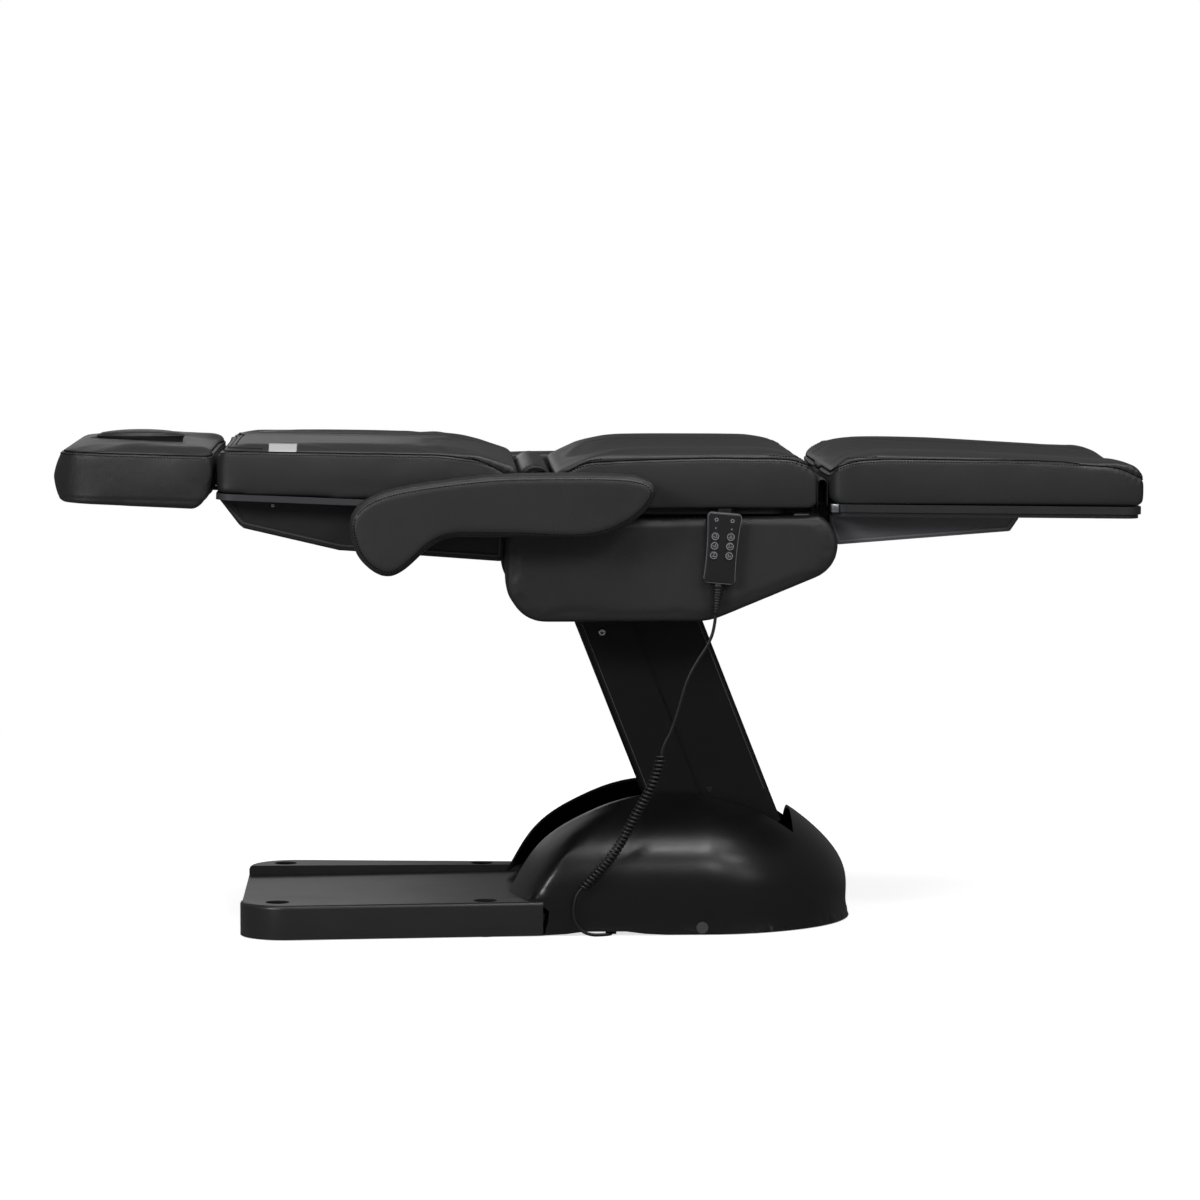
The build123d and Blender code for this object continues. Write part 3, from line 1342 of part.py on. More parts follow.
relief_plane = Plane(
    origin=handset_plane.from_local_coords(Vector(0, -handset_length - play, handset_depth / 2)),
    x_dir=(cos(handset_tilt), 0, -sin(handset_tilt)), z_dir=(-sin(handset_tilt), 0, -cos(handset_tilt)),
)
with BuildPart() as handset_relief:
    with BuildSketch(Plane(origin=relief_plane.origin, x_dir=relief_plane.z_dir, z_dir=(0, -1, 0))):
        with BuildLine():
            Polyline((0, 0), (0, relief_start), (relief_length, relief_end), (relief_length, 0), close=True)
        make_face()
        for n in range(1, relief_ribs + 1):
            with Locations((n * relief_length / (relief_ribs + 1), relief_start - n * (relief_start - relief_end) / 7)):
                Rectangle(relief_length / (3 * relief_ribs), 2 * relief_depth, mode=Mode.SUBTRACT)
    revolve(axis=Axis(relief_plane.origin, relief_plane.z_dir))
save(handset_relief, "handset_relief")

# The lead in three stretches: straight from the handset, curly beside the column, then under the dome
cord_diameter = 5
cord_level = handset_back + handset_depth / 2
relief_tip = relief_plane.from_local_coords(Vector(0, 0, relief_length + play))
coil_radius = 5
coil_turns = 38
coil_lead_turns = 1
coil_lead_stretch = 2
wire_sides = 4
steps_per_turn = 2
slope_share = 0.001
upper_route = [
    (relief_tip.X, -cord_level, relief_tip.Z), (199.7, -303, 527.5), (189, -303, 501), (173, -303, 477),
    (160, -303, 455), (150, -303, 431), (140, -302, 393), (127, -300, 353), (114.3, -298.5, 331),
    (111.06, -298.5, 315.3),
]
curl_route = [
    (111, -298.5, 315), (103, -298.5, 276), (82, -292, 237), (60, -284, 196), (38, -277, 153), (11, -270, 117),
    (-22, -268, 84),
]
lower_route = [
    (-22, -268, 84), (-30.5, -267.5, 75.5), (-35, -268, 60), (-37, -268, 46), (-35.5, -268, 32), (-30, -268, 19),
    (-20, -267, 9), (-6, -265, 4), (9, -261, 3.2), (22.5, -255, 3.2), (28.5, -246, 3.2), (28.5, -236, 3.2),
]


def corner_radii(route):
    """Largest arc that the two runs at each inner point allow."""
    radii = []
    for before, here, after in zip(route, route[1:], route[2:]):
        run_in, run_out = Vector(*here) - Vector(*before), Vector(*after) - Vector(*here)
        turn = radians(run_in.get_angle(run_out))
        radii.append(0.45 * min(run_in.length, run_out.length) / tan(turn / 2))
    return radii


for name, route in (("cord_upper", upper_route), ("cord_lower", lower_route)):
    radii = corner_radii(route)
    with BuildPart() as cord:
        with BuildLine() as path:
            FilletPolyline(*route, radius=radii)
        with BuildSketch(Plane(origin=path.line @ 0, z_dir=path.line % 0)):
            Circle(cord_diameter / 2)
        sweep()
    length = sum(edge.length for edge in path.edges())
    share = cord.part.volume / (pi * cord_diameter**2 / 4 * length)
    print(name, "length", round(length, 1), "least radius", round(min(radii), 1), "volume share", round(share, 4))
    save(cord, name)


def tangent_arc(start, way, end):
    """Arc that leaves the start along a direction and runs to the end."""
    chord = end - start
    side = (chord - way * chord.dot(way)).normalized()
    radius = chord.dot(chord) / (2 * chord.dot(side))
    centre = start + side * radius
    middle = centre + ((start + end) / 2 - centre).normalized() * radius
    return Edge.make_three_point_arc(start, middle, end)


def biarc(start, start_way, end, end_way):
    """Two arcs that join smoothly between two points with given directions."""
    across, ways = end - start, start_way + end_way
    bend = 2 * (1 - start_way.dot(end_way))
    reach = across.dot(ways)
    push = (sqrt(reach**2 + bend * across.dot(across)) - reach) / bend
    knee_in, knee_out = start + start_way * push, end - end_way * push
    middle = (knee_in + knee_out) / 2
    return tangent_arc(start, start_way, middle), tangent_arc(middle, (knee_out - knee_in).normalized(), end)


def curl_point(axis, turn):
    """Centre of the curly wire after some turns; the coil opens and closes smoothly at its ends."""
    opening, closing = min(turn / coil_lead_turns, 1), min((coil_turns - turn) / coil_lead_turns, 1)
    share = (turn + coil_lead_stretch * (1 + opening - closing)) / (coil_turns + 2 * coil_lead_stretch)
    at, way = axis @ share, axis % share
    right = way.cross(Vector(0, 1, 0)).normalized()
    radius = coil_radius * (opening * closing) ** 2 * (3 - 2 * opening * closing)
    return at + (right * cos(2 * pi * turn) + right.cross(way) * sin(2 * pi * turn)) * radius


curl_ends = [Vector(*curl_route[1]) - Vector(*curl_route[0]), Vector(*curl_route[-1]) - Vector(*curl_route[-2])]
curl_axis = Edge.make_spline([Vector(*point) for point in curl_route], tangents=curl_ends)
turn_places = [n / steps_per_turn for n in range(coil_turns * steps_per_turn + 1)]
curl_points = [curl_point(curl_axis, turn) for turn in turn_places]
curl_ways = [
    (curl_point(curl_axis, turn + slope_share) - curl_point(curl_axis, turn - slope_share)).normalized()
    for turn in turn_places[1:-1]
]
curl_ways = [curl_ends[0].normalized(), *curl_ways, curl_ends[1].normalized()]
curl_arcs = []
for n in range(coil_turns * steps_per_turn):
    curl_arcs += biarc(curl_points[n], curl_ways[n], curl_points[n + 1], curl_ways[n + 1])
curl_path = Wire(curl_arcs)
with BuildPart() as cord_curl:
    with BuildSketch(Plane(origin=curl_points[0], z_dir=curl_ways[0])) as wire_section:
        RegularPolygon(cord_diameter / 2, wire_sides)
    add(Solid.sweep(wire_section.sketch.faces()[0], curl_path), clean=False)
gaps = [
    (curl_path @ (n / len(curl_arcs) / 2) - curl_path @ (n / len(curl_arcs) / 2 + 1 / coil_turns)).length - cord_diameter
    for n in range(2 * len(curl_arcs) - 4 * steps_per_turn)
]
print("cord_curl length", round(curl_path.length, 1), "least gap to itself", round(min(gaps), 2))
print("cord_curl least arc radius", round(min(arc.radius for arc in curl_arcs), 1), "turns", coil_turns)
save(cord_curl, "cord_curl")
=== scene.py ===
import math

import bmesh
import bpy
from mathutils import Matrix, Vector
from mathutils.bvhtree import BVHTree
from mathutils.kdtree import KDTree


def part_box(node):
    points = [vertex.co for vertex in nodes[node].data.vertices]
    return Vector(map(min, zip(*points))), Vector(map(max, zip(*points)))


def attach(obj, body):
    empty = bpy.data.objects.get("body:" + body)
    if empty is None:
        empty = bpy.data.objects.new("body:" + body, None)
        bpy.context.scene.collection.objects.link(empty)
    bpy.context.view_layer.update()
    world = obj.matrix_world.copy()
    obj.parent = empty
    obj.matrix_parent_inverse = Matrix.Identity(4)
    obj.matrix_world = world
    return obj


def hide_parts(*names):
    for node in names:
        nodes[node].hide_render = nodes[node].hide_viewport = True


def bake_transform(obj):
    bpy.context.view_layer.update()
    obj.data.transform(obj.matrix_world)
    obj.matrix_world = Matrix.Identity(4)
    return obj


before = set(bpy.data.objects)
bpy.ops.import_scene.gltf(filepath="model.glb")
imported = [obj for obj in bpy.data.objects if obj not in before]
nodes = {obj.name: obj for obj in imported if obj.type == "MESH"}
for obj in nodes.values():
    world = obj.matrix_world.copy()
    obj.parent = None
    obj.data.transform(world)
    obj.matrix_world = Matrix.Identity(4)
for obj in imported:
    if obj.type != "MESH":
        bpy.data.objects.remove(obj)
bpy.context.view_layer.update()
scene = bpy.context.scene

# Studio: a long lens at chair height, white paper behind, a pale floor that keeps the chair's shadow,
# and soft boxes overhead and beside the camera.
scene.view_settings.view_transform = "Standard"


def srgb(code):
    """Linear colour of an sRGB hex value."""
    shares = [int(code[i:i + 2], 16) / 255 for i in (0, 2, 4)]
    return (*[s / 12.92 if s <= 0.04045 else ((s + 0.055) / 1.055) ** 2.4 for s in shares], 1)


def add(tree, kind, inputs=(), **settings):
    """One node with its settings; inputs pairs a socket's name or number with a value or a socket."""
    made = tree.nodes.new(kind)
    for key, value in settings.items():
        setattr(made, key, value)
    for key, value in inputs:
        if isinstance(value, bpy.types.NodeSocket):
            tree.links.new(value, made.inputs[key])
        else:
            made.inputs[key].default_value = value
    return made


def mixed(tree, share, first, second):
    """Mix of two shaders, the second at a share of 1."""
    return add(tree, "ShaderNodeMixShader", [(0, share), (1, first.outputs[0]), (2, second.outputs[0])])


camera_data = bpy.data.cameras.new("camera")
camera_data.sensor_width = 36
camera_data.lens = 145
camera = bpy.data.objects.new("camera", camera_data)
scene.collection.objects.link(camera)
camera.location = (-0.284, -8.395, 1.240)
aim = Vector((0.018, 0, 0.553))
camera.rotation_euler = (aim - camera.location).to_track_quat("-Z", "Y").to_euler()
scene.camera = camera

world = bpy.data.worlds.new("studio")
scene.world = world
world.use_nodes = True
sky = world.node_tree
sky.nodes.clear()
light_path = add(sky, "ShaderNodeLightPath")
ambient = add(sky, "ShaderNodeBackground", [("Color", srgb("FFFFFF")), ("Strength", 0.24)])
dim = add(sky, "ShaderNodeBackground", [("Color", srgb("FFFFFF")), ("Strength", 0.13)])
paper = add(sky, "ShaderNodeBackground", [("Color", srgb("FFFFFF")), ("Strength", 1.0)])
mirrored = mixed(sky, light_path.outputs["Is Glossy Ray"], ambient, dim)
seen = mixed(sky, light_path.outputs["Is Camera Ray"], mirrored, paper)
add(sky, "ShaderNodeOutputWorld", [("Surface", seen.outputs[0])])

for name, place, target, size, power in (
    ("soft_box_top", (0.0, -0.7, 3.2), (0, 0, 0.5), (3.4, 1.5), 46),
    ("soft_box_left", (-2.9, -3.6, 2.4), (-0.4, 0, 0.5), (1.5, 1.2), 76),
    ("soft_box_right", (3.2, -3.6, 2.3), (0, 0, 0.4), (1.4, 1.4), 10),
    ("strip_high", (0.55, -1.70, 3.00), (0.18, -0.23, 0.15), (0.55, 0.25), 14),
    ("strip_right", (1.9, -2.1, 2.7), (0.30, -0.24, 0.13), (0.60, 0.35), 8),
    ("strip_low", (1.0, -3.3, 2.2), (0.2, -0.25, 0.1), (0.9, 0.5), 12),
    ("reflector_back", (-1.2, 4.2, 1.5), (-0.5, 0, 0.8), (1.8, 1.0), 5),
):
    lamp_data = bpy.data.lights.new(name, "AREA")
    lamp_data.shape = "RECTANGLE"
    lamp_data.size, lamp_data.size_y = size
    lamp_data.energy = power
    lamp = bpy.data.objects.new(name, lamp_data)
    scene.collection.objects.link(lamp)
    lamp.visible_camera = False
    lamp.location = place
    lamp.rotation_euler = (Vector(target) - lamp.location).to_track_quat("-Z", "Y").to_euler()

floor_mesh = bmesh.new()
bmesh.ops.create_circle(floor_mesh, cap_ends=True, segments=96, radius=30)
floor_data = bpy.data.meshes.new("floor")
floor_mesh.to_mesh(floor_data)
floor_mesh.free()
floor = bpy.data.objects.new("floor", floor_data)
scene.collection.objects.link(floor)
floor_paint = bpy.data.materials.new("white_studio_floor")
floor_paint.use_nodes = True
tree = floor_paint.node_tree
tree.nodes.clear()
coords = add(tree, "ShaderNodeTexCoord")
reach = add(tree, "ShaderNodeVectorMath", [(0, coords.outputs["Object"])], operation="LENGTH")
far = add(
    tree, "ShaderNodeMapRange",
    [("Value", reach.outputs["Value"]), ("From Min", 1.5), ("From Max", 3.2)],
)
light_path = add(tree, "ShaderNodeLightPath")
bright = add(tree, "ShaderNodeBsdfDiffuse", [("Color", srgb("E8E8E8"))])
muted = add(tree, "ShaderNodeBsdfDiffuse", [("Color", srgb("7A7A7A"))])
lit = mixed(tree, light_path.outputs["Is Camera Ray"], muted, bright)
glow = add(tree, "ShaderNodeEmission", [("Color", srgb("FFFFFF")), ("Strength", 0.72)])
none = add(tree, "ShaderNodeEmission", [("Color", srgb("000000")), ("Strength", 0.0)])
lift_up = mixed(tree, light_path.outputs["Is Camera Ray"], none, glow)
near_floor = add(tree, "ShaderNodeAddShader", [(0, lit.outputs[0]), (1, lift_up.outputs[0])])
paper = add(tree, "ShaderNodeEmission", [("Color", srgb("FFFFFF")), ("Strength", 1.0)])
far_floor = mixed(tree, light_path.outputs["Is Camera Ray"], lit, paper)
whole = mixed(tree, far.outputs["Result"], near_floor, far_floor)
add(tree, "ShaderNodeOutputMaterial", [("Surface", whole.outputs[0])])
floor_data.materials.append(floor_paint)

# Base: a vacuum-formed cover over the welded floor frame, moulded in black ABS. The mould leaves a fine
# leather-like grain that breaks the highlights into a soft satin. The front moulding with its flat tray is
# drawn lighter than the dome, a painted sheen for the grey the tray shows under the light.


def material_of(name):
    """A new material, its node tree and its surface node."""
    material = bpy.data.materials.new(name)
    material.use_nodes = True
    return material, material.node_tree, material.node_tree.nodes["Principled BSDF"]


def clouded(tree, surface, fac, colour, tone_spread, roughness, roughness_spread):
    """Lets a surface's colour and roughness wander with fac."""
    tone = add(tree, "ShaderNodeMix", [(0, fac)], data_type="RGBA")
    for socket, share in ((6, 1 - tone_spread), (7, 1 + tone_spread)):
        tone.inputs[socket].default_value = [c * share for c in srgb(colour)[:3]] + [1]
    polish = add(
        tree, "ShaderNodeMapRange",
        [("Value", fac), ("To Min", roughness - roughness_spread), ("To Max", roughness + roughness_spread)],
    )
    tree.links.new(tone.outputs[2], surface.inputs["Base Color"])
    tree.links.new(polish.outputs["Result"], surface.inputs["Roughness"])


def embossed(tree, surface, height, strength, depth):
    """Relief of a surface, its depth in metres."""
    relief = add(
        tree, "ShaderNodeBump", [("Height", height), ("Strength", strength), ("Distance", depth)],
    )
    tree.links.new(relief.outputs["Normal"], surface.inputs["Normal"])


def moulded(name, colour, roughness, grain, depth, mottle=0.05):
    """Moulded plastic: grain is the size of its texture and depth how deep it is, both in millimetres."""
    plastic, tree, surface = material_of(name)
    surface.inputs["IOR"].default_value = 1.53
    coords = add(tree, "ShaderNodeTexCoord")
    pebble = add(
        tree, "ShaderNodeTexVoronoi",
        [("Vector", coords.outputs["Object"]), ("Scale", 1000 / grain), ("Randomness", 0.9)],
    )
    cloud = add(
        tree, "ShaderNodeTexNoise",
        [("Vector", coords.outputs["Object"]), ("Scale", 9.0), ("Detail", 4.0), ("Roughness", 0.6)],
    )
    clouded(tree, surface, cloud.outputs["Fac"], colour, 3 * mottle, roughness, mottle)
    embossed(tree, surface, pebble.outputs["Distance"], 0.6, depth / 1000)
    return plastic


def dress(material, *names):
    """Gives CAD nodes that stay a finished material."""
    for name in names:
        for place in nodes[name].material_slots:
            place.material = material


# The grain of the real mould, about 0.7 mm, is drawn at 1.6 mm so that the render can show it.
cover_plastic = moulded("moulded_abs_cover", "0E0E0F", 0.31, 1.6, 0.05)
# The tray's lighter grey is painted sheen on the same black ABS as the dome.
tray_plastic_painted_sheen = moulded("moulded_abs_tray_painted_sheen", "262627", 0.36, 1.6, 0.05)
cap_plastic = moulded("plain_abs_cap", "141415", 0.32, 0.9, 0.02)
dress(cap_plastic, "power_inlet", "control_box")
side_cap_plastic = moulded("grey_side_cap", "4A4A4D", 0.40, 0.9, 0.02)
dress(side_cap_plastic, "side_caps")
foot_rubber = moulded("ribbed_rubber_foot", "151515", 0.75, 1.2, 0.08)
dress(foot_rubber, "levelling_feet")


def merged_copy(node, name):
    """A new object with a CAD node's form, its loose triangles joined."""
    surface = bmesh.new()
    surface.from_mesh(nodes[node].data)
    bmesh.ops.remove_doubles(surface, verts=surface.verts, dist=0.00005)
    mesh = bpy.data.meshes.new(name)
    surface.to_mesh(mesh)
    surface.free()
    piece = bpy.data.objects.new(name, mesh)
    scene.collection.objects.link(piece)
    return piece


def rounded(mesh, angle):
    """Shades a mesh as one smooth form with creases only at edges sharper than the angle."""
    own_normals = mesh.attributes.get("custom_normal")
    if own_normals:
        mesh.attributes.remove(own_normals)
    for face in mesh.polygons:
        face.use_smooth = True
    mesh.set_sharp_from_angle(angle=math.radians(angle))


def eased(value, low, high):
    """0 below low, 1 above high, and a smooth step between."""
    share = max(0, min(1, (value - low) / (high - low)))
    return share * share * (3 - 2 * share)


def stands_in(piece, node, material, body):
    """Dresses a finished copy in place of its node and lets it ride on a body, if one is named."""
    piece.data.materials.clear()
    piece.data.materials.append(material)
    if body:
        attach(piece, body)
    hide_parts(node)


# The real cover is drawn down to the floor and its tray is 10 mm deep, so the copy's skirt comes down 6 mm
# and its tray floor up 6 mm. Its free end is 7 mm longer, as in the photo.
tray = merged_copy("front_cover", "front_moulding")
foot_top, foot_drop = 0.013, 0.0062
for vert in tray.data.vertices:
    if vert.co.z < foot_top:
        vert.co.z -= foot_drop
    if 0.0400 < vert.co.z < 0.0478 and abs(vert.co.y) < 0.250 and vert.co.x > -0.585:
        vert.co.z += 0.0060
    vert.co.x -= 0.007 * eased(-vert.co.x, 0.30, 0.58)
rounded(tray.data, 32)
stands_in(tray, "front_cover", tray_plastic_painted_sheen, "base")

# The dome is one drawn sheet without a hard edge on its flank, which runs out low over the tray. The copy
# smooths the crease on both faces of the sheet and leans the flank outward. Its foot keeps a notch for
# the cord.
dome = merged_copy("dome_cover", "dome_moulding")
skin = bmesh.new()
skin.from_mesh(dome.data)
for halving in range(2):
    long_edges = [
        edge for edge in skin.edges
        if edge.calc_length() > 0.009 and min(vert.co.x for vert in edge.verts) < 0.10
    ]
    bmesh.ops.subdivide_edges(skin, edges=long_edges, cuts=1)
    bmesh.ops.triangulate(skin, faces=[face for face in skin.faces if len(face.verts) > 3])
sharp = [
    (edge.verts[0].co + edge.verts[1].co) / 2 for edge in skin.edges
    if len(edge.link_faces) == 2 and edge.calc_face_angle() > 0.35 and edge.verts[0].co.x < 0.09
    and edge.verts[0].co.z > 0.085 and abs(edge.verts[0].co.y) > 0.150
]
creases = KDTree(len(sharp))
for number, point in enumerate(sharp):
    creases.insert(point, number)
creases.balance()
for span, passes in ((0.050, 30), (0.070, 14), (0.090, 8)):
    soft = [
        vert for vert in skin.verts
        if creases.find(vert.co)[2] < span and abs(vert.co.y) > 0.138 and vert.co.z > 0.066
    ]
    for number in range(passes):
        bmesh.ops.smooth_vert(skin, verts=soft, factor=0.5, use_axis_x=True, use_axis_y=True, use_axis_z=True)
for vert in skin.verts:
    under_cord = -0.025 < vert.co.x < 0.065 and vert.co.y < -0.22
    if vert.co.z < foot_top and not under_cord:
        vert.co.z -= foot_drop
    if vert.co.z > 0.045:
        share = eased(-vert.co.x, -0.10, 0.05) * eased(vert.co.z, 0.045, 0.060)
        vert.co.x += share * (-0.032 + 0.30 * (vert.co.z - 0.060))
    vert.co.x += 0.006 * eased(vert.co.x, 0.30, 0.44)
skin.to_mesh(dome.data)
skin.free()
rounded(dome.data, 40)
stands_in(dome, "dome_cover", cover_plastic, "base")

# Frame, arms and brackets: welded square tube, powder coated black with the faint orange peel of the
# coating. The lift's pins, the rods and the clips are zinc plated and the hanger blackened; the headrest
# slide wears the same dark steel as painted shade for the shaded gap it sits in.


def metal(name, colour, metallic, roughness, scratch, depth):
    """Coated or plated steel: scratch is the size of its marks in millimetres."""
    steel, tree, surface = material_of(name)
    surface.inputs["Metallic"].default_value = metallic
    coords = add(tree, "ShaderNodeTexCoord")
    peel = add(
        tree, "ShaderNodeTexNoise",
        [("Vector", coords.outputs["Object"]), ("Scale", 1000 / scratch), ("Detail", 3.0)],
    )
    smear = add(
        tree, "ShaderNodeTexNoise",
        [("Vector", coords.outputs["Object"]), ("Scale", 14.0), ("Detail", 5.0)],
    )
    clouded(tree, surface, smear.outputs["Fac"], colour, 0.18, roughness, 0.07)
    embossed(tree, surface, peel.outputs["Fac"], 0.5, depth / 1000)
    return steel


coated_steel = metal("powder_coated_steel", "0F0F10", 0.0, 0.42, 2.2, 0.12)
dress(
    coated_steel, "hinge_pins", "base_frame", "seat_frame", "backrest_frame", "legrest_frame", "front_arm",
    "rear_arm", "armrest_core_left", "armrest_core_right", "armrest_link_left", "armrest_link_right",
)
plated_steel = metal("zinc_plated_steel", "B4B6BA", 1.0, 0.30, 0.8, 0.03)
dress(plated_steel, "upper_pivot_pins", "lower_pivot_pins", "back_rod", "leg_rod", "lift_rod", "skirt_clips")
dark_steel_and_gap_shade = metal("blackened_steel_and_slide_shade", "2A2A2C", 0.6, 0.36, 1.0, 0.05)
# On the headrest slide this dark steel is painted shade for its gap.
dress(dark_steel_and_gap_shade, "handset_hanger", "headrest_slide")
motor_plastic = moulded("glass_filled_nylon_motor", "202022", 0.55, 1.4, 0.06)
dress(motor_plastic, "back_motor", "leg_motor", "lift_motor")

# Lift column: folded-looking shells in matte black ABS that clip over the two lift arms. Two silver
# pan-head screws hold the front shell near its top, and small dark caps hide the rear shell's.
shell_plastic = moulded("matte_abs_shell", "060607", 0.50, 1.1, 0.04, 0.03)
shell_plastic.node_tree.nodes["Principled BSDF"].inputs["IOR"].default_value = 1.39
dress(shell_plastic, "front_shell", "rear_shell")
dress(cap_plastic, "shell_caps")
screw_steel = metal("nickel_plated_screw", "C8C9CC", 1.0, 0.24, 0.6, 0.01)


def new_piece(name, surface, material, body, smooth=True):
    """Puts a finished bmesh in the scene as a piece that rides on a body."""
    mesh = bpy.data.meshes.new(name)
    surface.to_mesh(mesh)
    surface.free()
    piece = bpy.data.objects.new(name, mesh)
    scene.collection.objects.link(piece)
    mesh.materials.append(material)
    for face in mesh.polygons:
        face.use_smooth = smooth
    if body:
        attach(piece, body)
    return piece


def pan_head_screw(surface, centre, facing, radius, height):
    """A pan head with a cross recess, facing along an axis."""
    arm, slot_width = 0.52 * radius, 0.15 * radius
    cross = []
    for quarter in range(4):
        turn = Matrix.Rotation(quarter * math.pi / 2, 3, "Z")
        for x, y in ((slot_width, slot_width), (arm, slot_width), (arm, -slot_width)):
            cross.append(turn @ Vector((x, y, 0)))
    cross.sort(key=lambda point: math.atan2(point.y, point.x))
    rim = [surface.verts.new((p.x, p.y, height)) for p in cross]
    pit_edges = [surface.edges.new((rim[i], rim[(i + 1) % len(rim)])) for i in range(len(rim))]
    ring = bmesh.ops.create_circle(surface, segments=24, radius=0.68 * radius)["verts"]
    bmesh.ops.translate(surface, verts=ring, vec=(0, 0, 0.97 * height))
    ring_edges = list({edge for vert in ring for edge in vert.link_edges})
    bmesh.ops.bridge_loops(surface, edges=pit_edges + ring_edges)
    fresh = list(rim) + list(ring)
    loop = ring_edges
    for share, drop in ((0.88, 0.80), (0.97, 0.52), (1.0, 0.22), (1.0, 0.0)):
        out = bmesh.ops.extrude_edge_only(surface, edges=loop)["geom"]
        loop = [item for item in out if isinstance(item, bmesh.types.BMEdge)]
        row = [item for item in out if isinstance(item, bmesh.types.BMVert)]
        for vert in row:
            flat = Vector((vert.co.x, vert.co.y, 0)).normalized() * share * radius
            vert.co = (flat.x, flat.y, drop * height)
        fresh += row
    out = bmesh.ops.extrude_edge_only(surface, edges=pit_edges)["geom"]
    pit = [item for item in out if isinstance(item, bmesh.types.BMVert)]
    bmesh.ops.translate(surface, verts=pit, vec=(0, 0, -0.55 * height))
    bmesh.ops.scale(surface, verts=pit, vec=(0.8, 0.8, 1))
    floor_edges = [item for item in out if isinstance(item, bmesh.types.BMEdge)]
    bmesh.ops.contextual_create(surface, geom=floor_edges)
    fresh += pit
    bmesh.ops.recalc_face_normals(surface, faces=surface.faces)
    place = Matrix.Translation(centre) @ Vector(facing).to_track_quat("Z", "Y").to_matrix().to_4x4()
    bmesh.ops.transform(surface, matrix=place, verts=list(dict.fromkeys(fresh)))


seating = 0.0001
screw_low, screw_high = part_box("shell_screws")
screw_x = (screw_low.x + screw_high.x) / 2
screw_z = (screw_low.z + screw_high.z) / 2
shell_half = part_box("front_shell")[1].y
screws = bmesh.new()
for way in (-1, 1):
    pan_head_screw(
        screws, (screw_x, way * (shell_half + seating), screw_z), (0, way, 0),
        (screw_high.z - screw_low.z) / 2, screw_high.y - shell_half - seating,
    )
screws_piece = new_piece("column_screws", screws, screw_steel, "front_arm")
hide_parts("shell_screws")

# Folds of the shells: a fine raised line runs down each side, 12 mm in from the closed edge of the front
# shell and 8 mm in from that of the rear one, where the sheet is folded. Its light grey is a painted
# highlight of the fold catching the light.
fold_sink = 0.0002
# The fold line's light grey is painted highlight.
fold_highlight_plastic = moulded("painted_highlight_shell_fold", "4C4C4F", 0.34, 1.1, 0.01, 0.02)
for name, body, top, bottom in (
    ("front_shell_fold", "front_arm", (-0.0230, 0.5370), (0.0966, 0.2330)),
    ("rear_shell_fold", "rear_arm", (0.1784, 0.5370), (0.2979, 0.2330)),
):
    way = Vector((bottom[0] - top[0], 0, bottom[1] - top[1]))
    folds = bmesh.new()
    for side in (-1, 1):
        fold_y = side * (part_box(name.removesuffix("_fold"))[1].y - fold_sink)
        bar = bmesh.ops.create_cube(folds, size=1)["verts"]
        bmesh.ops.scale(folds, verts=bar, vec=(0.0022, 0.0016, way.length))
        middle_place = Vector((top[0], fold_y, top[1])) + way / 2
        bmesh.ops.transform(
            folds, verts=bar,
            matrix=Matrix.Translation(middle_place) @ way.to_track_quat("Z", "Y").to_matrix().to_4x4(),
        )
    bmesh.ops.bevel(
        folds, geom=folds.edges[:], offset=0.0006, segments=2, profile=0.5, affect="EDGES", material=-1,
    )
    fold_piece = new_piece(name, folds, fold_highlight_plastic, body)

# Boards: birch plywood under the seat and headrest cushions, which the cushions are stapled to. Only
# its edge shows, in the gaps under the cushions, and its near-black colour is painted shade for those gaps.
plywood, tree, surface = material_of("plywood_painted_gap_shade")
surface.inputs["Roughness"].default_value = 0.7
coords = add(tree, "ShaderNodeTexCoord")
stretched = add(
    tree, "ShaderNodeMapping", [("Vector", coords.outputs["Object"]), ("Scale", (6.0, 60.0, 60.0))],
)
grain = add(tree, "ShaderNodeTexNoise", [("Vector", stretched.outputs[0]), ("Scale", 3.0), ("Detail", 6.0)])
# Wood grain between two near-black tones: painted shade of the gap.
shaded_grain = add(tree, "ShaderNodeMix", [(0, grain.outputs["Fac"])], data_type="RGBA")
shaded_grain.inputs[6].default_value = srgb("0B0A09")
shaded_grain.inputs[7].default_value = srgb("1C1916")
tree.links.new(shaded_grain.outputs[2], surface.inputs["Base Color"])
embossed(tree, surface, grain.outputs["Fac"], 0.3, 0.0004)
dress(plywood, "seat_board", "headrest_board")

# Back and leg trays: thermoformed ABS tubs with a fine grain, and the satin edging strips under the
# cushions. The back's strip is drawn lighter than the leg rest's as a painted sheen of the top light.
tub_plastic = moulded("thermoformed_abs_tub", "1D1D1F", 0.46, 1.8, 0.10, 0.07)
# The back tub is 17 mm deeper at its head end than the CAD's, and curves from there to its middle.
back_tub = merged_copy("backrest_tub", "tub_moulding")
for vert in back_tub.data.vertices:
    fade = 1 - eased(vert.co.x, -0.510, -0.390)
    vert.co.z -= 0.017 * fade * eased(0.739 - vert.co.z, 0.002, 0.020)
rounded(back_tub.data, 30)
stands_in(back_tub, "backrest_tub", tub_plastic, "backrest")
# The leg tub is the same ABS as the back tub, drawn much lighter as painted light.
leg_tub_plastic_painted_light = moulded("thermoformed_abs_leg_tub_painted_light", "68686C", 0.46, 1.8, 0.10, 0.07)
dress(leg_tub_plastic_painted_light, "legrest_tub")


bead_width, bead_height = 0.0030, 0.0014


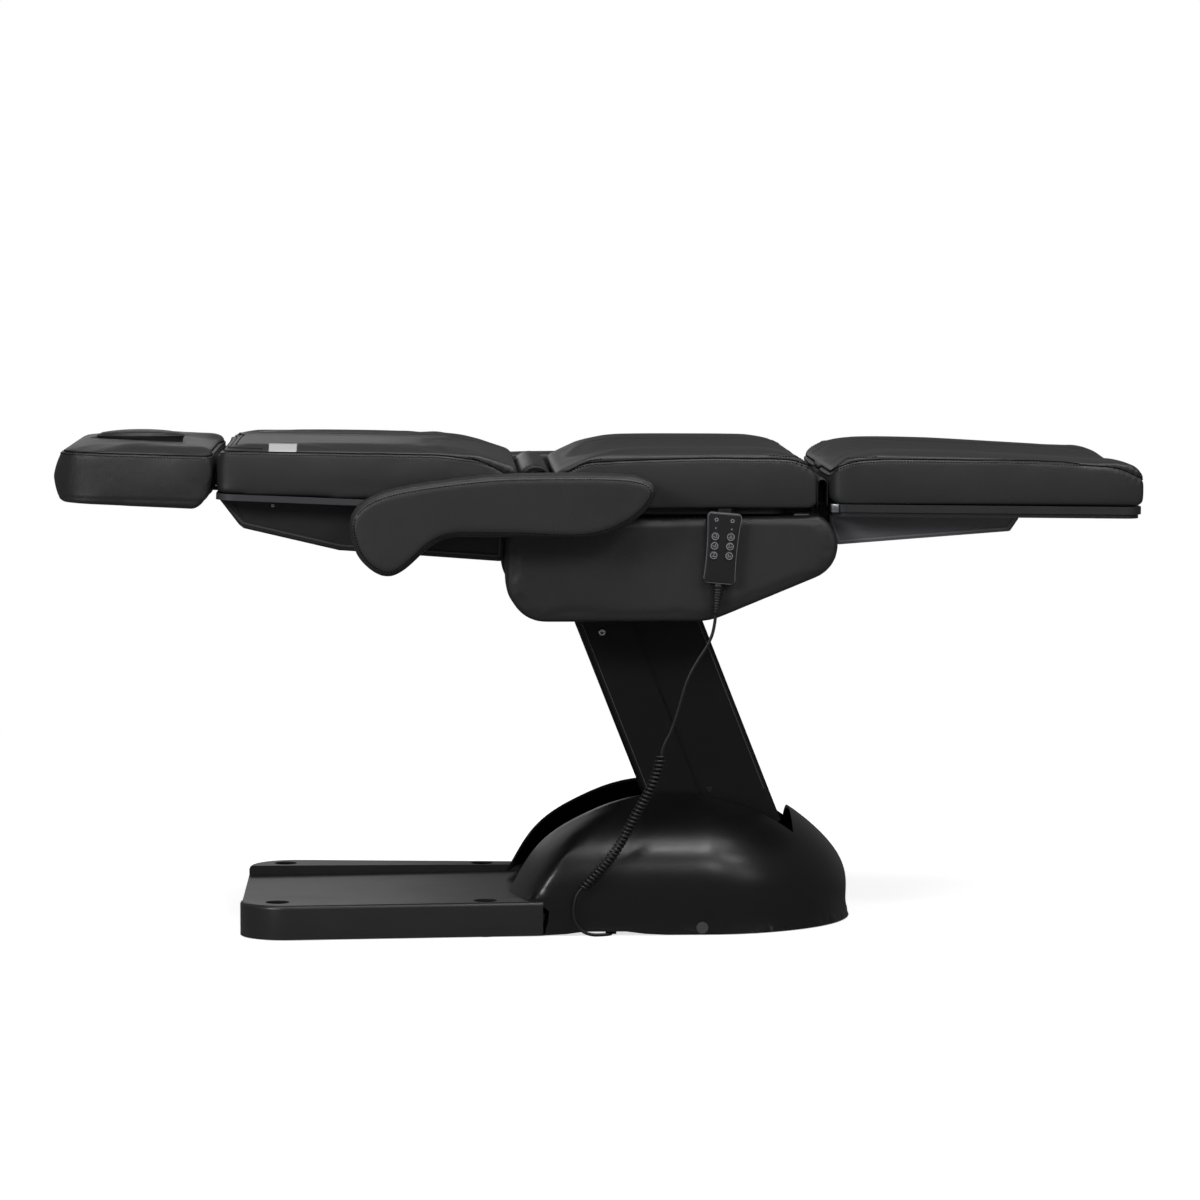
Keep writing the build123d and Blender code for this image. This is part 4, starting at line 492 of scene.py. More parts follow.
def bead(node, tub, material, body, inset):
    """A fine raised bead on both flat sides of a tub, parallel to the side's outline."""
    low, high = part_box(node)
    lines = bmesh.new()
    for way, level in ((-1, low.y), (1, high.y)):
        flat = [vert.co for vert in tub.data.vertices if abs(vert.co.y - level) < 0.0006]
        sheet = bmesh.new()
        for point in flat:
            sheet.verts.new((point.x, level, point.z))
        bmesh.ops.convex_hull(sheet, input=sheet.verts[:])
        ring = {vert for edge in sheet.edges for vert in edge.verts if edge.link_faces}
        centre = sum((vert.co for vert in ring), Vector()) / len(ring)
        order = sorted(ring, key=lambda vert: math.atan2(vert.co.z - centre.z, vert.co.x - centre.x))
        corners = [lines.verts.new(vert.co) for vert in order]
        sheet.free()
        panel = lines.faces.new(corners)
        panel.normal_update()
        if panel.normal.y * way < 0:
            panel.normal_flip()
        bmesh.ops.inset_individual(lines, faces=[panel], thickness=inset, depth=0)
        band = set(bmesh.ops.inset_individual(lines, faces=[panel], thickness=bead_width, depth=0)["faces"])
        spare = [
            face for face in lines.faces
            if face not in band and abs(face.calc_center_median().y - level) < 0.0005
        ]
        bmesh.ops.delete(lines, geom=spare, context="FACES")
        raised = bmesh.ops.extrude_face_region(lines, geom=list(band))["geom"]
        top = [item for item in raised if isinstance(item, bmesh.types.BMVert)]
        bmesh.ops.translate(lines, verts=top, vec=(0, way * bead_height, 0))
    piece = new_piece(f"{node}_bead", lines, material, body, smooth=False)


# The beads' light greys are painted highlights of the raised edges catching the light, lighter on the leg
# tub.
bead_highlight_plastic = moulded("tub_bead_painted_highlight", "4A4A4C", 0.40, 0.9, 0.02)
bead("backrest_tub", back_tub, bead_highlight_plastic, "backrest", 0.005)
leg_bead_highlight_plastic = moulded("leg_tub_bead_painted_highlight", "828286", 0.40, 0.9, 0.02)
bead("legrest_tub", nodes["legrest_tub"], leg_bead_highlight_plastic, "legrest", 0.004)
# Lighter grey: painted sheen of the top light on the back's strip.
back_strip_painted_sheen = moulded("satin_edging_painted_sheen", "404044", 0.34, 0.9, 0.02)
dress(back_strip_painted_sheen, "backrest_rim")
leg_strip = moulded("satin_dark_edging", "2E2E30", 0.36, 0.9, 0.02)
dress(leg_strip, "legrest_rim")
tub_screws = bmesh.new()
for way in (-1, 1):
    pan_head_screw(tub_screws, (-0.543, way * (0.2383 + seating), 0.7345), (0, way, 0), 0.0034, 0.0022)
tub_screws_piece = new_piece("tub_screws", tub_screws, screw_steel, "backrest")
plates = bmesh.new()
for way in (-1, 1):
    bar = bmesh.ops.create_cube(plates, size=1)["verts"]
    bmesh.ops.scale(plates, verts=bar, vec=(0.012, 0.0024, 0.0135))
    bmesh.ops.translate(plates, verts=bar, vec=(0.403, way * 0.3006, 0.7312))
bmesh.ops.bevel(
    plates, geom=plates.edges[:], offset=0.0006, segments=2, profile=0.5, affect="EDGES", material=-1,
)
plates_piece = new_piece("edging_plates", plates, plated_steel, "legrest")

# Upholstery: black polyurethane leatherette, pulled over shaped foam and sewn at the edge of the top
# panel. Its pressed grain is about 1 mm, and at a low angle it mirrors the light above as a flat grey.


def leatherette(name, colour, roughness, grain):
    """Coated fabric with a pressed hide grain; grain is the size of one pebble in millimetres."""
    cloth, tree, surface = material_of(name)
    surface.inputs["IOR"].default_value = 1.5
    coords = add(tree, "ShaderNodeTexCoord")
    wander = add(
        tree, "ShaderNodeTexNoise",
        [("Vector", coords.outputs["Object"]), ("Scale", 500 / grain), ("Detail", 2.0)],
    )
    bent = add(
        tree, "ShaderNodeVectorMath",
        [(0, wander.outputs["Color"]), (1, (0.6 * grain / 1000,) * 3), (2, coords.outputs["Object"])],
        operation="MULTIPLY_ADD",
    )
    pebble = add(
        tree, "ShaderNodeTexVoronoi",
        [("Vector", bent.outputs[0]), ("Scale", 1000 / grain)],
        feature="DISTANCE_TO_EDGE",
    )
    crease = add(
        tree, "ShaderNodeMapRange",
        [("Value", pebble.outputs["Distance"]), ("From Max", 0.22)],
        interpolation_type="SMOOTHSTEP",
    )
    cloud = add(
        tree, "ShaderNodeTexNoise",
        [("Vector", coords.outputs["Object"]), ("Scale", 7.0), ("Detail", 3.0)],
    )
    clouded(tree, surface, cloud.outputs["Fac"], colour, 0.15, roughness, 0.05)
    embossed(tree, surface, crease.outputs["Result"], 0.55, 0.00016)
    return cloth


black_leatherette = leatherette("black_polyurethane_leatherette", "29292A", 0.40, 1.5)
# Near-black thread, also used for the painted seam shadow.
thread_and_seam_shade = metal("polyester_thread_and_seam_shade", "020202", 0.0, 0.92, 0.3, 0.05)
thread_and_seam_shade.node_tree.nodes["Principled BSDF"].inputs["Specular IOR Level"].default_value = 0.15


def mesh_of(piece):
    """Mesh of a piece with its modifiers or its bevel."""
    bpy.context.view_layer.update()
    return bpy.data.meshes.new_from_object(piece.evaluated_get(bpy.context.evaluated_depsgraph_get()))


def settle(piece):
    """Applies every modifier on a piece."""
    mesh = mesh_of(piece)
    piece.modifiers.clear()
    piece.data = mesh


def upholster(name, node, body, voxel, ease, cap, held, shape=None):
    """Foam and leatherette on one node's form, smoothed ease times, then blown up between its held places.
    held(point) is 0 where the cover is free and 1 where it is fixed; shape(point) is a change of form that
    comes first; the foam rises no more than cap."""
    pad = merged_copy(node, name)
    grid = pad.modifiers.new("grid", "REMESH")
    grid.mode = "VOXEL"
    grid.voxel_size = voxel
    even = pad.modifiers.new("even", "SMOOTH")
    even.factor = 0.5
    even.iterations = ease
    settle(pad)
    if shape:
        for vert in pad.data.vertices:
            vert.co += shape(vert.co)
    pinned = pad.vertex_groups.new(name="held")
    weights = [min(1, max(0, held(vert.co))) for vert in pad.data.vertices]
    normals = [vert.normal.copy() for vert in pad.data.vertices]
    for vert, normal, weight in zip(pad.data.vertices, normals, weights):
        vert.co -= normal * 0.0012 * (1 - weight)
        if weight > 0:
            pinned.add([vert.index], weight, "REPLACE")
    start = [vert.co.copy() for vert in pad.data.vertices]
    blown = pad.modifiers.new("blown", "CLOTH")
    blown.settings.quality = 4
    blown.settings.mass = 0.3
    blown.settings.use_pressure = True
    blown.settings.uniform_pressure_force = 4
    blown.settings.effector_weights.gravity = 0
    blown.settings.vertex_group_mass = "held"
    blown.collision_settings.use_collision = False
    for moment in range(1, 21):
        scene.frame_set(moment)
    settle(pad)
    for vert, begin, normal in zip(pad.data.vertices, start, normals):
        rise = (vert.co - begin).dot(normal)
        vert.co = begin + normal * max(-0.0004, min(cap, rise))
    scene.frame_set(1)
    pad.vertex_groups.clear()
    taut = pad.modifiers.new("taut", "SMOOTH")
    taut.factor = 0.5
    taut.iterations = 4
    finer = pad.modifiers.new("finer", "SUBSURF")
    finer.levels = finer.render_levels = 1
    settle(pad)
    for face in pad.data.polygons:
        face.use_smooth = True
    stands_in(pad, node, black_leatherette, body)
    return pad


# Headrest: a square cushion with rounded outer corners, sewn over foam on plywood, with an oval
# breathing hole. Its cover wraps the end, so the seam runs round the side panel and the top is plain.


def straight(points):
    """Height read along a line of (x, height) points."""
    def at(x):
        if x <= points[0][0]:
            return points[0][1]
        for (x0, z0), (x1, z1) in zip(points, points[1:]):
            if x <= x1:
                return z0 + (z1 - z0) * (x - x0) / (x1 - x0)
        return points[-1][1]
    return at


def at_seam(point, height, low, high):
    """1 on the ring where a pad's cover is sewn, near its sides or ends."""
    edge = abs(point.y) > high.y - 0.014 or min(point.x - low.x, high.x - point.x) < 0.030
    return 1 if edge and abs(point.z - height(point.x)) < 0.0045 else 0


def tree_of(piece):
    """Search tree over a piece's faces."""
    points = [vert.co.copy() for vert in piece.data.vertices]
    return BVHTree.FromPolygons(points, [tuple(face.vertices) for face in piece.data.polygons])


def evened(points, step, closed=True):
    """The same line with points a step apart."""
    line = list(points) + [points[0]] if closed else list(points)
    out, spare = [line[0].copy()], 0.0
    for a, b in zip(line, line[1:]):
        length = (b - a).length
        while spare + length >= step and length > 0:
            share = (step - spare) / length
            a = a.lerp(b, share)
            out.append(a.copy())
            length = (b - a).length
            spare = 0.0
        spare += length
    return out


def seam_round(pad, centre, height, step=0.003):
    """Line round a pad where a level cut at height(x) meets its sides; lower where the top is lower."""
    tree = tree_of(pad)
    sides = [vert.co for vert in pad.data.vertices]
    low = Vector([min(co[axis] for co in sides) for axis in range(3)])
    high = Vector([max(co[axis] for co in sides) for axis in range(3)])
    points = []
    for number in range(720):
        turn = 2 * math.pi * number / 720
        out = Vector((math.cos(turn), math.sin(turn), 0))
        at, drop = centre[0], 0.0
        for attempt in range(12):
            z = height(at) - drop
            hit = tree.ray_cast(Vector((centre[0], centre[1], z)) + out * 2, -out)[0]
            if hit is None or min(hit.x - low.x, high.x - hit.x, hit.y - low.y, high.y - hit.y) > 0.035:
                drop += 0.004
            elif abs(height(hit.x) - drop - z) < 0.0005:
                break
            else:
                at = hit.x
        if hit is not None:
            points.append(hit)
    heights = [point.z for point in points]
    for number, point in enumerate(points):
        point.z = sum(heights[(number + shift) % len(points)] for shift in range(-6, 7)) / 13
    return evened([tree.find_nearest(point)[0] for point in points], step)


def groove(pad, lines, depth, width):
    """Draws a pad in along its seams."""
    points = [point for line in lines for point in line]
    near = KDTree(len(points))
    for number, point in enumerate(points):
        near.insert(point, number)
    near.balance()
    normals = [vert.normal.copy() for vert in pad.data.vertices]
    for vert, normal in zip(pad.data.vertices, normals):
        distance = near.find(vert.co)[2]
        if distance < 3 * width:
            vert.co -= normal * depth * math.exp(-((distance / width) ** 2))


hole_low, hole_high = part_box("face_plug")
hole_x = (hole_low.x + hole_high.x) / 2
head_low, head_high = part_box("headrest_cushion")
headrest_height = straight([(-0.926, 0.829), (-0.645, 0.820)])


def headrest_held(point):
    in_hole = ((point.x - hole_x) / 0.080) ** 2 + (point.y / 0.055) ** 2 < 1
    return 1 if in_hole or point.z < 0.752 else at_seam(point, headrest_height, head_low, head_high)


def headrest_shape(point):
    """Rounds the head end, fills the inner end, raises the sides and sets the hole 22 mm nearer the seat."""
    share = max(0, (-0.850 - point.x) / 0.075)
    off_middle = abs(point.z - 0.780) / 0.050
    end = share ** 2 * (0.011 + 0.011 * min(1.4, off_middle) ** 2)
    inner = 0.004 * eased(point.x, -0.680, -0.650) * eased(point.z, 0.765, 0.790)
    hole = 0.022 * math.exp(-(((point.x - hole_x) / 0.075) ** 4) - (point.y / 0.110) ** 4)
    roll = math.exp(-(((abs(point.y) - 0.235) / 0.042) ** 2)) * eased(point.z, 0.795, 0.820)
    return Vector((end + inner + hole, 0, 0.011 * roll * eased(point.x, -0.870, -0.760)))


headrest_pad = upholster(
    "headrest_upholstery", "headrest_cushion", "headrest", 0.0055, 10, 0.0035, headrest_held, headrest_shape,
)
headrest_seam = seam_round(headrest_pad, (-0.785, 0), headrest_height)
headrest_lower = seam_round(headrest_pad, (-0.785, 0), straight([(-0.926, 0.752), (-0.645, 0.744)]))
groove(headrest_pad, [headrest_seam], 0.0022, 0.0028)
groove(headrest_pad, [headrest_lower], 0.0012, 0.0025)


def plug_held(point):
    return 1 if point.z < 0.841 else 0


def plug_shape(point):
    """Sets the plug in the moved hole and lowers its top, which stands only a little above the headrest."""
    reach = ((point.x - hole_x) ** 2 + point.y ** 2) / 0.078 ** 2
    crown = 0.006 * min(1, reach) * eased(point.z, 0.841, 0.849)
    return Vector((0.022, 0, -0.3 * max(0, point.z - 0.841) - crown))


plug_pad = upholster("face_plug_upholstery", "face_plug", "face_plug", 0.004, 4, 0.002, plug_held, plug_shape)
plug_seam = seam_round(plug_pad, (hole_x + 0.022, 0), lambda x: 0.846, 0.002)
groove(plug_pad, [plug_seam], 0.0010, 0.0020)

# Backrest: one flat cushion whose top panel runs down over the seat end, between raised side rolls.
# The rolls are 9 mm higher than the CAD's top, and the middle is 4 mm lower.


def seam_over(pad, plan, step=0.003):
    """Line over a pad's top, straight above the plan points."""
    tree = tree_of(pad)
    points = []
    for x, y in plan:
        hit = tree.ray_cast(Vector((x, y, 2)), Vector((0, 0, -1)))[0]
        if hit is not None:
            points.append(hit)
    return evened(points, step, closed=False)


def gather(pad, line, depth, pitch, reach, where):
    """Small gathers of the cover across a seam, where(point) says on which part of it."""
    near = KDTree(len(line))
    for number, point in enumerate(line):
        near.insert(point, number)
    near.balance()
    step = (line[1] - line[0]).length
    normals = [vert.normal.copy() for vert in pad.data.vertices]
    for vert, normal in zip(pad.data.vertices, normals):
        spot, number, distance = near.find(vert.co)
        if distance < 2.5 * reach and where(spot) > 0:
            wave = 0.5 - 0.5 * math.cos(2 * math.pi * number * step / pitch + 1.7 * math.sin(number * 0.09))
            vert.co -= normal * depth * where(spot) * wave * math.exp(-((distance / reach) ** 2))


back_low, back_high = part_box("backrest_cushion")
back_height = straight([
    (-0.640, 0.829), (-0.261, 0.822), (-0.194, 0.813), (-0.152, 0.801), (-0.130, 0.790),
])


def back_held(point):
    return 1 if point.z < 0.766 else at_seam(point, back_height, back_low, back_high)


def back_shape(point):
    """Raises the side rolls and lowers the middle, fading out towards both ends."""
    end = -0.005 * eased(-point.x, 0.560, 0.625)
    if point.z < 0.800:
        return Vector((end, 0, 0))
    fade = max(0, min(1, (point.x - back_low.x) / 0.05, (back_high.x - point.x - 0.03) / 0.10))
    roll = math.exp(-(((abs(point.y) - 0.248) / 0.030) ** 2))
    middle = max(0, min(1, (0.195 - abs(point.y)) / 0.04))
    return Vector((end, 0, fade * (0.009 * roll - 0.004 * middle)))


back_pad = upholster(
    "backrest_upholstery", "backrest_cushion", "backrest", 0.006, 3, 0.0035, back_held, back_shape,
)
back_seam = seam_round(back_pad, (-0.38, 0), back_height)
back_rolls = [
    seam_over(back_pad, [(-0.618 + 0.478 * i / 160, way * 0.196) for i in range(161)]) for way in (-1, 1)
]
groove(back_pad, [back_seam], 0.0024, 0.0030)
groove(back_pad, back_rolls, 0.0020, 0.0030)


def at_seat_end(point):
    return max(0, 1 - (back_high.x - point.x) / 0.10) if abs(point.y) > 0.2 else 0


gather(back_pad, back_seam, 0.0014, 0.011, 0.012, at_seat_end)

# Label: a blank woven tag, sewn flat over the top edge of the backrest near its head end. Threads of
# the real tag are 0.2 mm apart and are drawn at 0.8 mm to show.
label_cloth, tree, surface = material_of("woven_satin_label")
surface.inputs["Base Color"].default_value = srgb("B0B0B1")
surface.inputs["Roughness"].default_value = 0.5
coords = add(tree, "ShaderNodeTexCoord")
weave = add(
    tree, "ShaderNodeTexWave",
    [("Vector", coords.outputs["Object"]), ("Scale", 1000 / 0.8 / 6.283), ("Distortion", 0.4)],
    bands_direction="X",
)
embossed(tree, surface, weave.outputs["Fac"], 0.4, 0.0001)
back_tree = tree_of(back_pad)
tag = bmesh.new()
bmesh.ops.create_grid(tag, x_segments=24, y_segments=8, size=0.5)
for vert in tag.verts:
    along, up = vert.co.x, vert.co.y + 0.5
    target = Vector((-0.5245 + 0.047 * along, -0.3020 + 0.046 * up, 0.8305 + 0.0110 * up ** 0.6))
    spot, normal = back_tree.find_nearest(target)[:2]
    vert.co = spot + normal * 0.0006
bmesh.ops.solidify(tag, geom=tag.faces[:], thickness=0.0005)
bmesh.ops.recalc_face_normals(tag, faces=tag.faces)
label_piece = new_piece("blank_label", tag, label_cloth, "backrest")

# Seat: a short thick foam cushion on its board, with a raised roll along each side and a crown that
# falls to the hinge end.
seat_low, seat_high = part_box("seat_cushion")
seat_height = straight([
    (-0.070, 0.789), (-0.048, 0.797), (-0.017, 0.809), (0.072, 0.813), (0.187, 0.816), (0.304, 0.815),
    (0.342, 0.812), (0.362, 0.800), (0.374, 0.785),
])


def seat_held(point):
    return 1 if point.z < 0.739 else at_seam(point, seat_height, seat_low, seat_high)


seat_pad = upholster("seat_upholstery", "seat_cushion", "seat", 0.006, 3, 0.0035, seat_held)
seat_seam = seam_round(seat_pad, (0.15, 0), seat_height)
roll_seam_y = 0.60 * seat_high.y


def at_ends(low_x, high_x, span):
    """1 at both ends of a pad's sides, falling to 0 over the span inwards; the left end has less."""
    def share(point):
        near = max(0, 1 - (high_x - point.x) / span, 0.4 - 0.4 * (point.x - low_x) / span)
        return near if abs(point.y) > 0.2 else 0
    return share


def roll_lines(pad, start, end):
    """The seams between the side rolls and the middle of a pad."""
    plan = [start + (end - start) * number / 160 for number in range(161)]
    return [seam_over(pad, [(x, way * roll_seam_y) for x in plan]) for way in (-1, 1)]


seat_rolls = roll_lines(seat_pad, seat_low.x + 0.012, seat_high.x - 0.012)
groove(seat_pad, [seat_seam], 0.0024, 0.0030)
groove(seat_pad, seat_rolls, 0.0020, 0.0030)
gather(seat_pad, seat_seam, 0.0016, 0.011, 0.012, at_ends(seat_low.x, seat_high.x, 0.09))

# Leg rest: a foam cushion on its own frame and tray, with the same side rolls as the seat, thinner
# towards the feet.
leg_low, leg_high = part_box("legrest_cushion")
leg_height = straight([
    (0.394, 0.786), (0.405, 0.798), (0.426, 0.810), (0.483, 0.814), (0.720, 0.811), (0.885, 0.803),
    (0.926, 0.782),
])


def leg_held(point):
    return 1 if point.z < 0.740 else at_seam(point, leg_height, leg_low, leg_high)


def leg_shape(point):
    """Keeps the side rolls full to the foot end, where the CAD's round off earlier."""
    full = eased(point.x, 0.835, 0.895) * (1 - eased(point.x, 0.908, 0.926))
    roll = eased(abs(point.y), 0.100, 0.215) * eased(point.z, 0.770, 0.790)
    return Vector((0, 0, 0.005 * full * roll))


leg_pad = upholster(
    "legrest_upholstery", "legrest_cushion", "legrest", 0.006, 3, 0.0035, leg_held, leg_shape,
)
leg_seam = seam_round(leg_pad, (0.66, 0), leg_height)
leg_rolls = roll_lines(leg_pad, leg_low.x + 0.012, leg_high.x - 0.030)
groove(leg_pad, [leg_seam], 0.0024, 0.0030)
groove(leg_pad, leg_rolls, 0.0020, 0.0030)
gather(leg_pad, leg_seam, 0.0016, 0.011, 0.012, at_ends(leg_low.x, leg_high.x, 0.09))

# Armrests: banana-shaped pads, foam over a steel bar, with the outer panel sewn in by a run of
# stitches that follows the edge.


def run_length(points):
    """Length of a line of points."""
    return sum((b - a).length for a, b in zip(points, points[1:]))


def cut_line(pad, point, normal):
    """The longest closed line where a plane cuts a piece."""
    surface = bmesh.new()
    surface.from_mesh(pad.data)
    bmesh.ops.remove_doubles(surface, verts=surface.verts, dist=0.00005)
    whole = surface.verts[:] + surface.edges[:] + surface.faces[:]
    cut = bmesh.ops.bisect_plane(surface, geom=whole, plane_co=point, plane_no=normal)["geom_cut"]
    spare = {item for item in cut if isinstance(item, bmesh.types.BMEdge)}
    lines = []
    while spare:
        edge = spare.pop()
        row = list(edge.verts)
        while True:
            following = next((item for item in row[-1].link_edges if item in spare), None)
            if following is None:
                break
            spare.remove(following)
            row.append(following.other_vert(row[-1]))
        lines.append([vert.co.copy() for vert in row])
    surface.free()
    return max(lines, key=run_length)


def stitches(surface, line, tree, pitch, length, thickness):
    """A row of thread stitches that lies along a line on a pad."""
    one = bmesh.new()
    bmesh.ops.create_uvsphere(one, u_segments=6, v_segments=4, radius=1)
    bmesh.ops.rotate(one, verts=one.verts, matrix=Matrix.Rotation(math.pi / 2, 3, "Y"))
    bmesh.ops.scale(one, verts=one.verts, vec=(length / 2, thickness / 2, thickness / 2))
    stitch = bpy.data.meshes.new("stitch")
    one.to_mesh(stitch)
    one.free()
    row = evened(line, pitch, closed=False)
    for a, b in zip(row, row[1:]):
        way = (b - a).normalized()
        hit, normal = tree.find_nearest((a + b) / 2)[:2]
        if hit is None:
            continue
        across = normal.cross(way).normalized()
        up = way.cross(across).normalized()
        turned = Matrix((way, across, up)).transposed().to_4x4()
        place = Matrix.Translation(hit + normal * thickness * 0.15) @ turned
        stitch.transform(place)
        surface.from_mesh(stitch)
        stitch.transform(place.inverted())
    bpy.data.meshes.remove(stitch)


def arm_held(point):
    """The inner face on the bar and the outer panel's flat middle stay."""
    return 1 if abs(point.y) < 0.326 or abs(point.y) > 0.3930 else 0


for side, way in (("right", -1), ("left", 1)):
    arm_pad = upholster(
        f"armrest_upholstery_{side}", f"armrest_pad_{side}", f"armrest_{side}", 0.005, 3, 0.003, arm_held,
    )
    arm_seam = evened(cut_line(arm_pad, (0, way * 0.3945, 0), (0, 1, 0)), 0.003)
    groove(arm_pad, [arm_seam], 0.0016, 0.0022)
    rows = bmesh.new()
    arm_row = evened(cut_line(arm_pad, (0, way * 0.3985, 0), (0, 1, 0)), 0.003)
    stitches(rows, arm_row, tree_of(arm_pad), 0.0052, 0.0042, 0.0021)
    sewn = new_piece(f"armrest_stitches_{side}", rows, thread_and_seam_shade, f"armrest_{side}")

# Skirts: padded leatherette flaps clipped under the seat, one each side, that hide the lift's head. The
# photo has them about 26 mm nearer the foot end than the CAD's solids, and a little longer.


def skirt_held(point):
    return 1 if abs(point.y) < 0.252 or point.z > 0.712 else 0


def skirt_shape(point):
    """Moves the flap 18 mm at its head end and 36 mm at its foot end, over its length of 545 mm."""
    return Vector((0.018 + 0.018 * (point.x + 0.170) / 0.545, 0, 0))


for side in ("right", "left"):
    upholster(f"skirt_upholstery_{side}", f"skirt_{side}", "seat", 0.005, 3, 0.002, skirt_held, skirt_shape)

# Stitches: black bonded thread, 5 mm apart, below the long seams of headrest, back, seat and leg rest, and
# above them near the pads' ends. A close row on the seam itself is painted shadow: a dark line for the
# shade in the seam's crease.
stitch_row = (0.0052, 0.0040, 0.0019)
end_reach = 0.085
for label, pad, centre, height, body in (
    ("back", back_pad, (-0.38, 0), back_height, "backrest"),
    ("seat", seat_pad, (0.15, 0), seat_height, "seat"),
    ("leg", leg_pad, (0.66, 0), leg_height, "legrest"),
    ("head", headrest_pad, (-0.785, 0), headrest_height, "headrest"),
):
    tree = tree_of(pad)
    rows = bmesh.new()
    # Painted shadow: a close dark row along the seam for the shade in its crease.
    stitches(rows, seam_round(pad, centre, height), tree, 0.0030, 0.0038, 0.0021)
    line = seam_round(pad, centre, lambda x: height(x) - 0.0042)
    stitches(rows, line, tree, *stitch_row)
    ends = [vert.co.x for vert in pad.data.vertices]
    low_x, high_x = min(ends), max(ends)
    over = [] if label == "head" else seam_round(pad, centre, lambda x: height(x) + 0.0045)
    run = []
    for point in over + over[:1]:
        if min(point.x - low_x, high_x - point.x) < end_reach:
            run.append(point)
        elif len(run) > 3:
            stitches(rows, run, tree, *stitch_row)
            run = []
    if len(run) > 3:
        stitches(rows, run, tree, *stitch_row)
    sewn = new_piece(f"{label}_stitches", rows, thread_and_seam_shade, body)

# Gussets: folded flaps of flexible vinyl that close the gaps between the cushions.
gusset_vinyl = leatherette("flexible_gusset_vinyl", "1A1A1B", 0.36, 1.2)
for name, node, other, start, end in (
    ("back_gusset_flap", "back_gusset", "backrest", (-0.074, 0, 0.752), (-0.126, 0, 0.752)),
    ("leg_gusset_flap", "leg_gusset", "legrest", (0.377, 0, 0.720), (0.391, 0, 0.720)),
):
    flap = merged_copy(node, name)
    finer = flap.modifiers.new("finer", "SUBSURF")
    finer.subdivision_type = "SIMPLE"
    finer.levels = finer.render_levels = 2
    settle(flap)
    for face in flap.data.polygons:
        face.use_smooth = True
    stands_in(flap, node, gusset_vinyl, None)
    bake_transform(flap)

# Handset: a slim black ABS remote that hangs on a steel hanger beside the seat, with six round keys
# marked by generic icons, and two lamps.
handset_plastic = moulded("satin_abs_handset", "1C1C1E", 0.36, 0.8, 0.02)
dress(handset_plastic, "handset_shell")
key_plastic = moulded("soft_touch_key", "2C2C2F", 0.42, 0.7, 0.02)
for key in ("back_up", "back_down", "lift_up", "lift_down", "leg_up", "leg_down"):
    dress(key_plastic, f"key_{key}")

# Print on the handset: two lamp rings, two small crosses, and on each key a ring and a generic icon,
# screen printed, 0.1 mm thick. A fine grey line round the face is a painted highlight of its rounded edge.
print_ink = moulded("grey_screen_print", "A4A4A6", 0.5, 0.6, 0.0, 0.02)
hand_origin = Vector((0.217, -0.3140, 0.725))
hand_tilt = math.radians(5)
hand_right = Vector((math.cos(hand_tilt), 0, -math.sin(hand_tilt)))
hand_up = Vector((math.sin(hand_tilt), 0, math.cos(hand_tilt)))


def printed(surface, points, width, lift, closed=False):
    """A flat line of ink through points given in millimetres across and up the handset's face."""
    spots = [Vector(point) for point in points]
    count = len(spots)
    rows = []
    for number, spot in enumerate(spots):
        before = spots[(number - 1) % count] if closed or number else spot
        after = spots[(number + 1) % count] if closed or number < count - 1 else spot
        way = (after - before).normalized()
        across = Vector((-way.y, way.x)) * width / 2
        pair = []
        for side in (spot - across, spot + across):
            place = hand_origin + (hand_right * side.x + hand_up * side.y) / 1000
            pair.append(surface.verts.new((place.x, place.y - lift / 1000, place.z)))
        rows.append(pair)
    if closed:
        rows.append(rows[0])
    for (a, b), (c, d) in zip(rows, rows[1:]):
        surface.faces.new((a, b, d, c))


def ring(x, y, radius):
    """Points round a circle."""
    turns = [2 * math.pi * number / 24 for number in range(24)]
    return [(x + radius * math.cos(turn), y + radius * math.sin(turn)) for turn in turns]


def arrow(x, y, way):
    """Shaft and head of a small arrow that points up or down."""
    head = [(x - 1.3, y + 0.7 * way), (x, y + 2 * way), (x + 1.3, y + 0.7 * way)]
    return [[(x, y - 2 * way), (x, y + 2 * way)], head]


def waisted(v, inset):
    """Half width of the handset at a height on its face."""
    wide = v + 72, v + 120
    return (
        30 * wide[0] * wide[1] / 8640 - 25.75 * v * wide[1] / 3456 + 27.5 * v * wide[0] / 5760 - inset
    )


def quarter(x, y, radius, start):
    """Corner arc of a quarter turn, clockwise from a start angle in degrees."""
    angles = [math.radians(start - 90 * n / 6) for n in range(7)]
    return [(x + radius * math.cos(a), y + radius * math.sin(a)) for a in angles]


def border_line(inset, top_radius, foot_radius):
    """The handset's outline, drawn in by an inset."""
    top, foot = -inset, -120 + inset
    line = quarter(-waisted(-7, inset) + top_radius, top - top_radius, top_radius, 180)
    line += quarter(waisted(-7, inset) - top_radius, top - top_radius, top_radius, 90)
    line += [(waisted(v, inset), v) for v in range(-12, -106, -6)]
    line += quarter(waisted(-112, inset) - foot_radius, foot + foot_radius, foot_radius, 0)
    line += quarter(-waisted(-112, inset) + foot_radius, foot + foot_radius, foot_radius, -90)
    return line + [(-waisted(v, inset), v) for v in range(-102, -8, 6)]


# Painted highlight: a grey line where the face's rounded edge catches the light.
edge_highlight_ink = moulded("painted_edge_highlight", "68686B", 0.4, 0.6, 0.0, 0.02)
edge_highlight_mesh = bmesh.new()
printed(edge_highlight_mesh, border_line(1.0, 6.5, 8.0), 1.7, -1.1, True)
for face in edge_highlight_mesh.faces:
    face.normal_update()
    if face.normal.y > 0:
        face.normal_flip()
edge_highlight_piece = new_piece("handset_edge_highlight", edge_highlight_mesh, edge_highlight_ink, "handset", smooth=False)

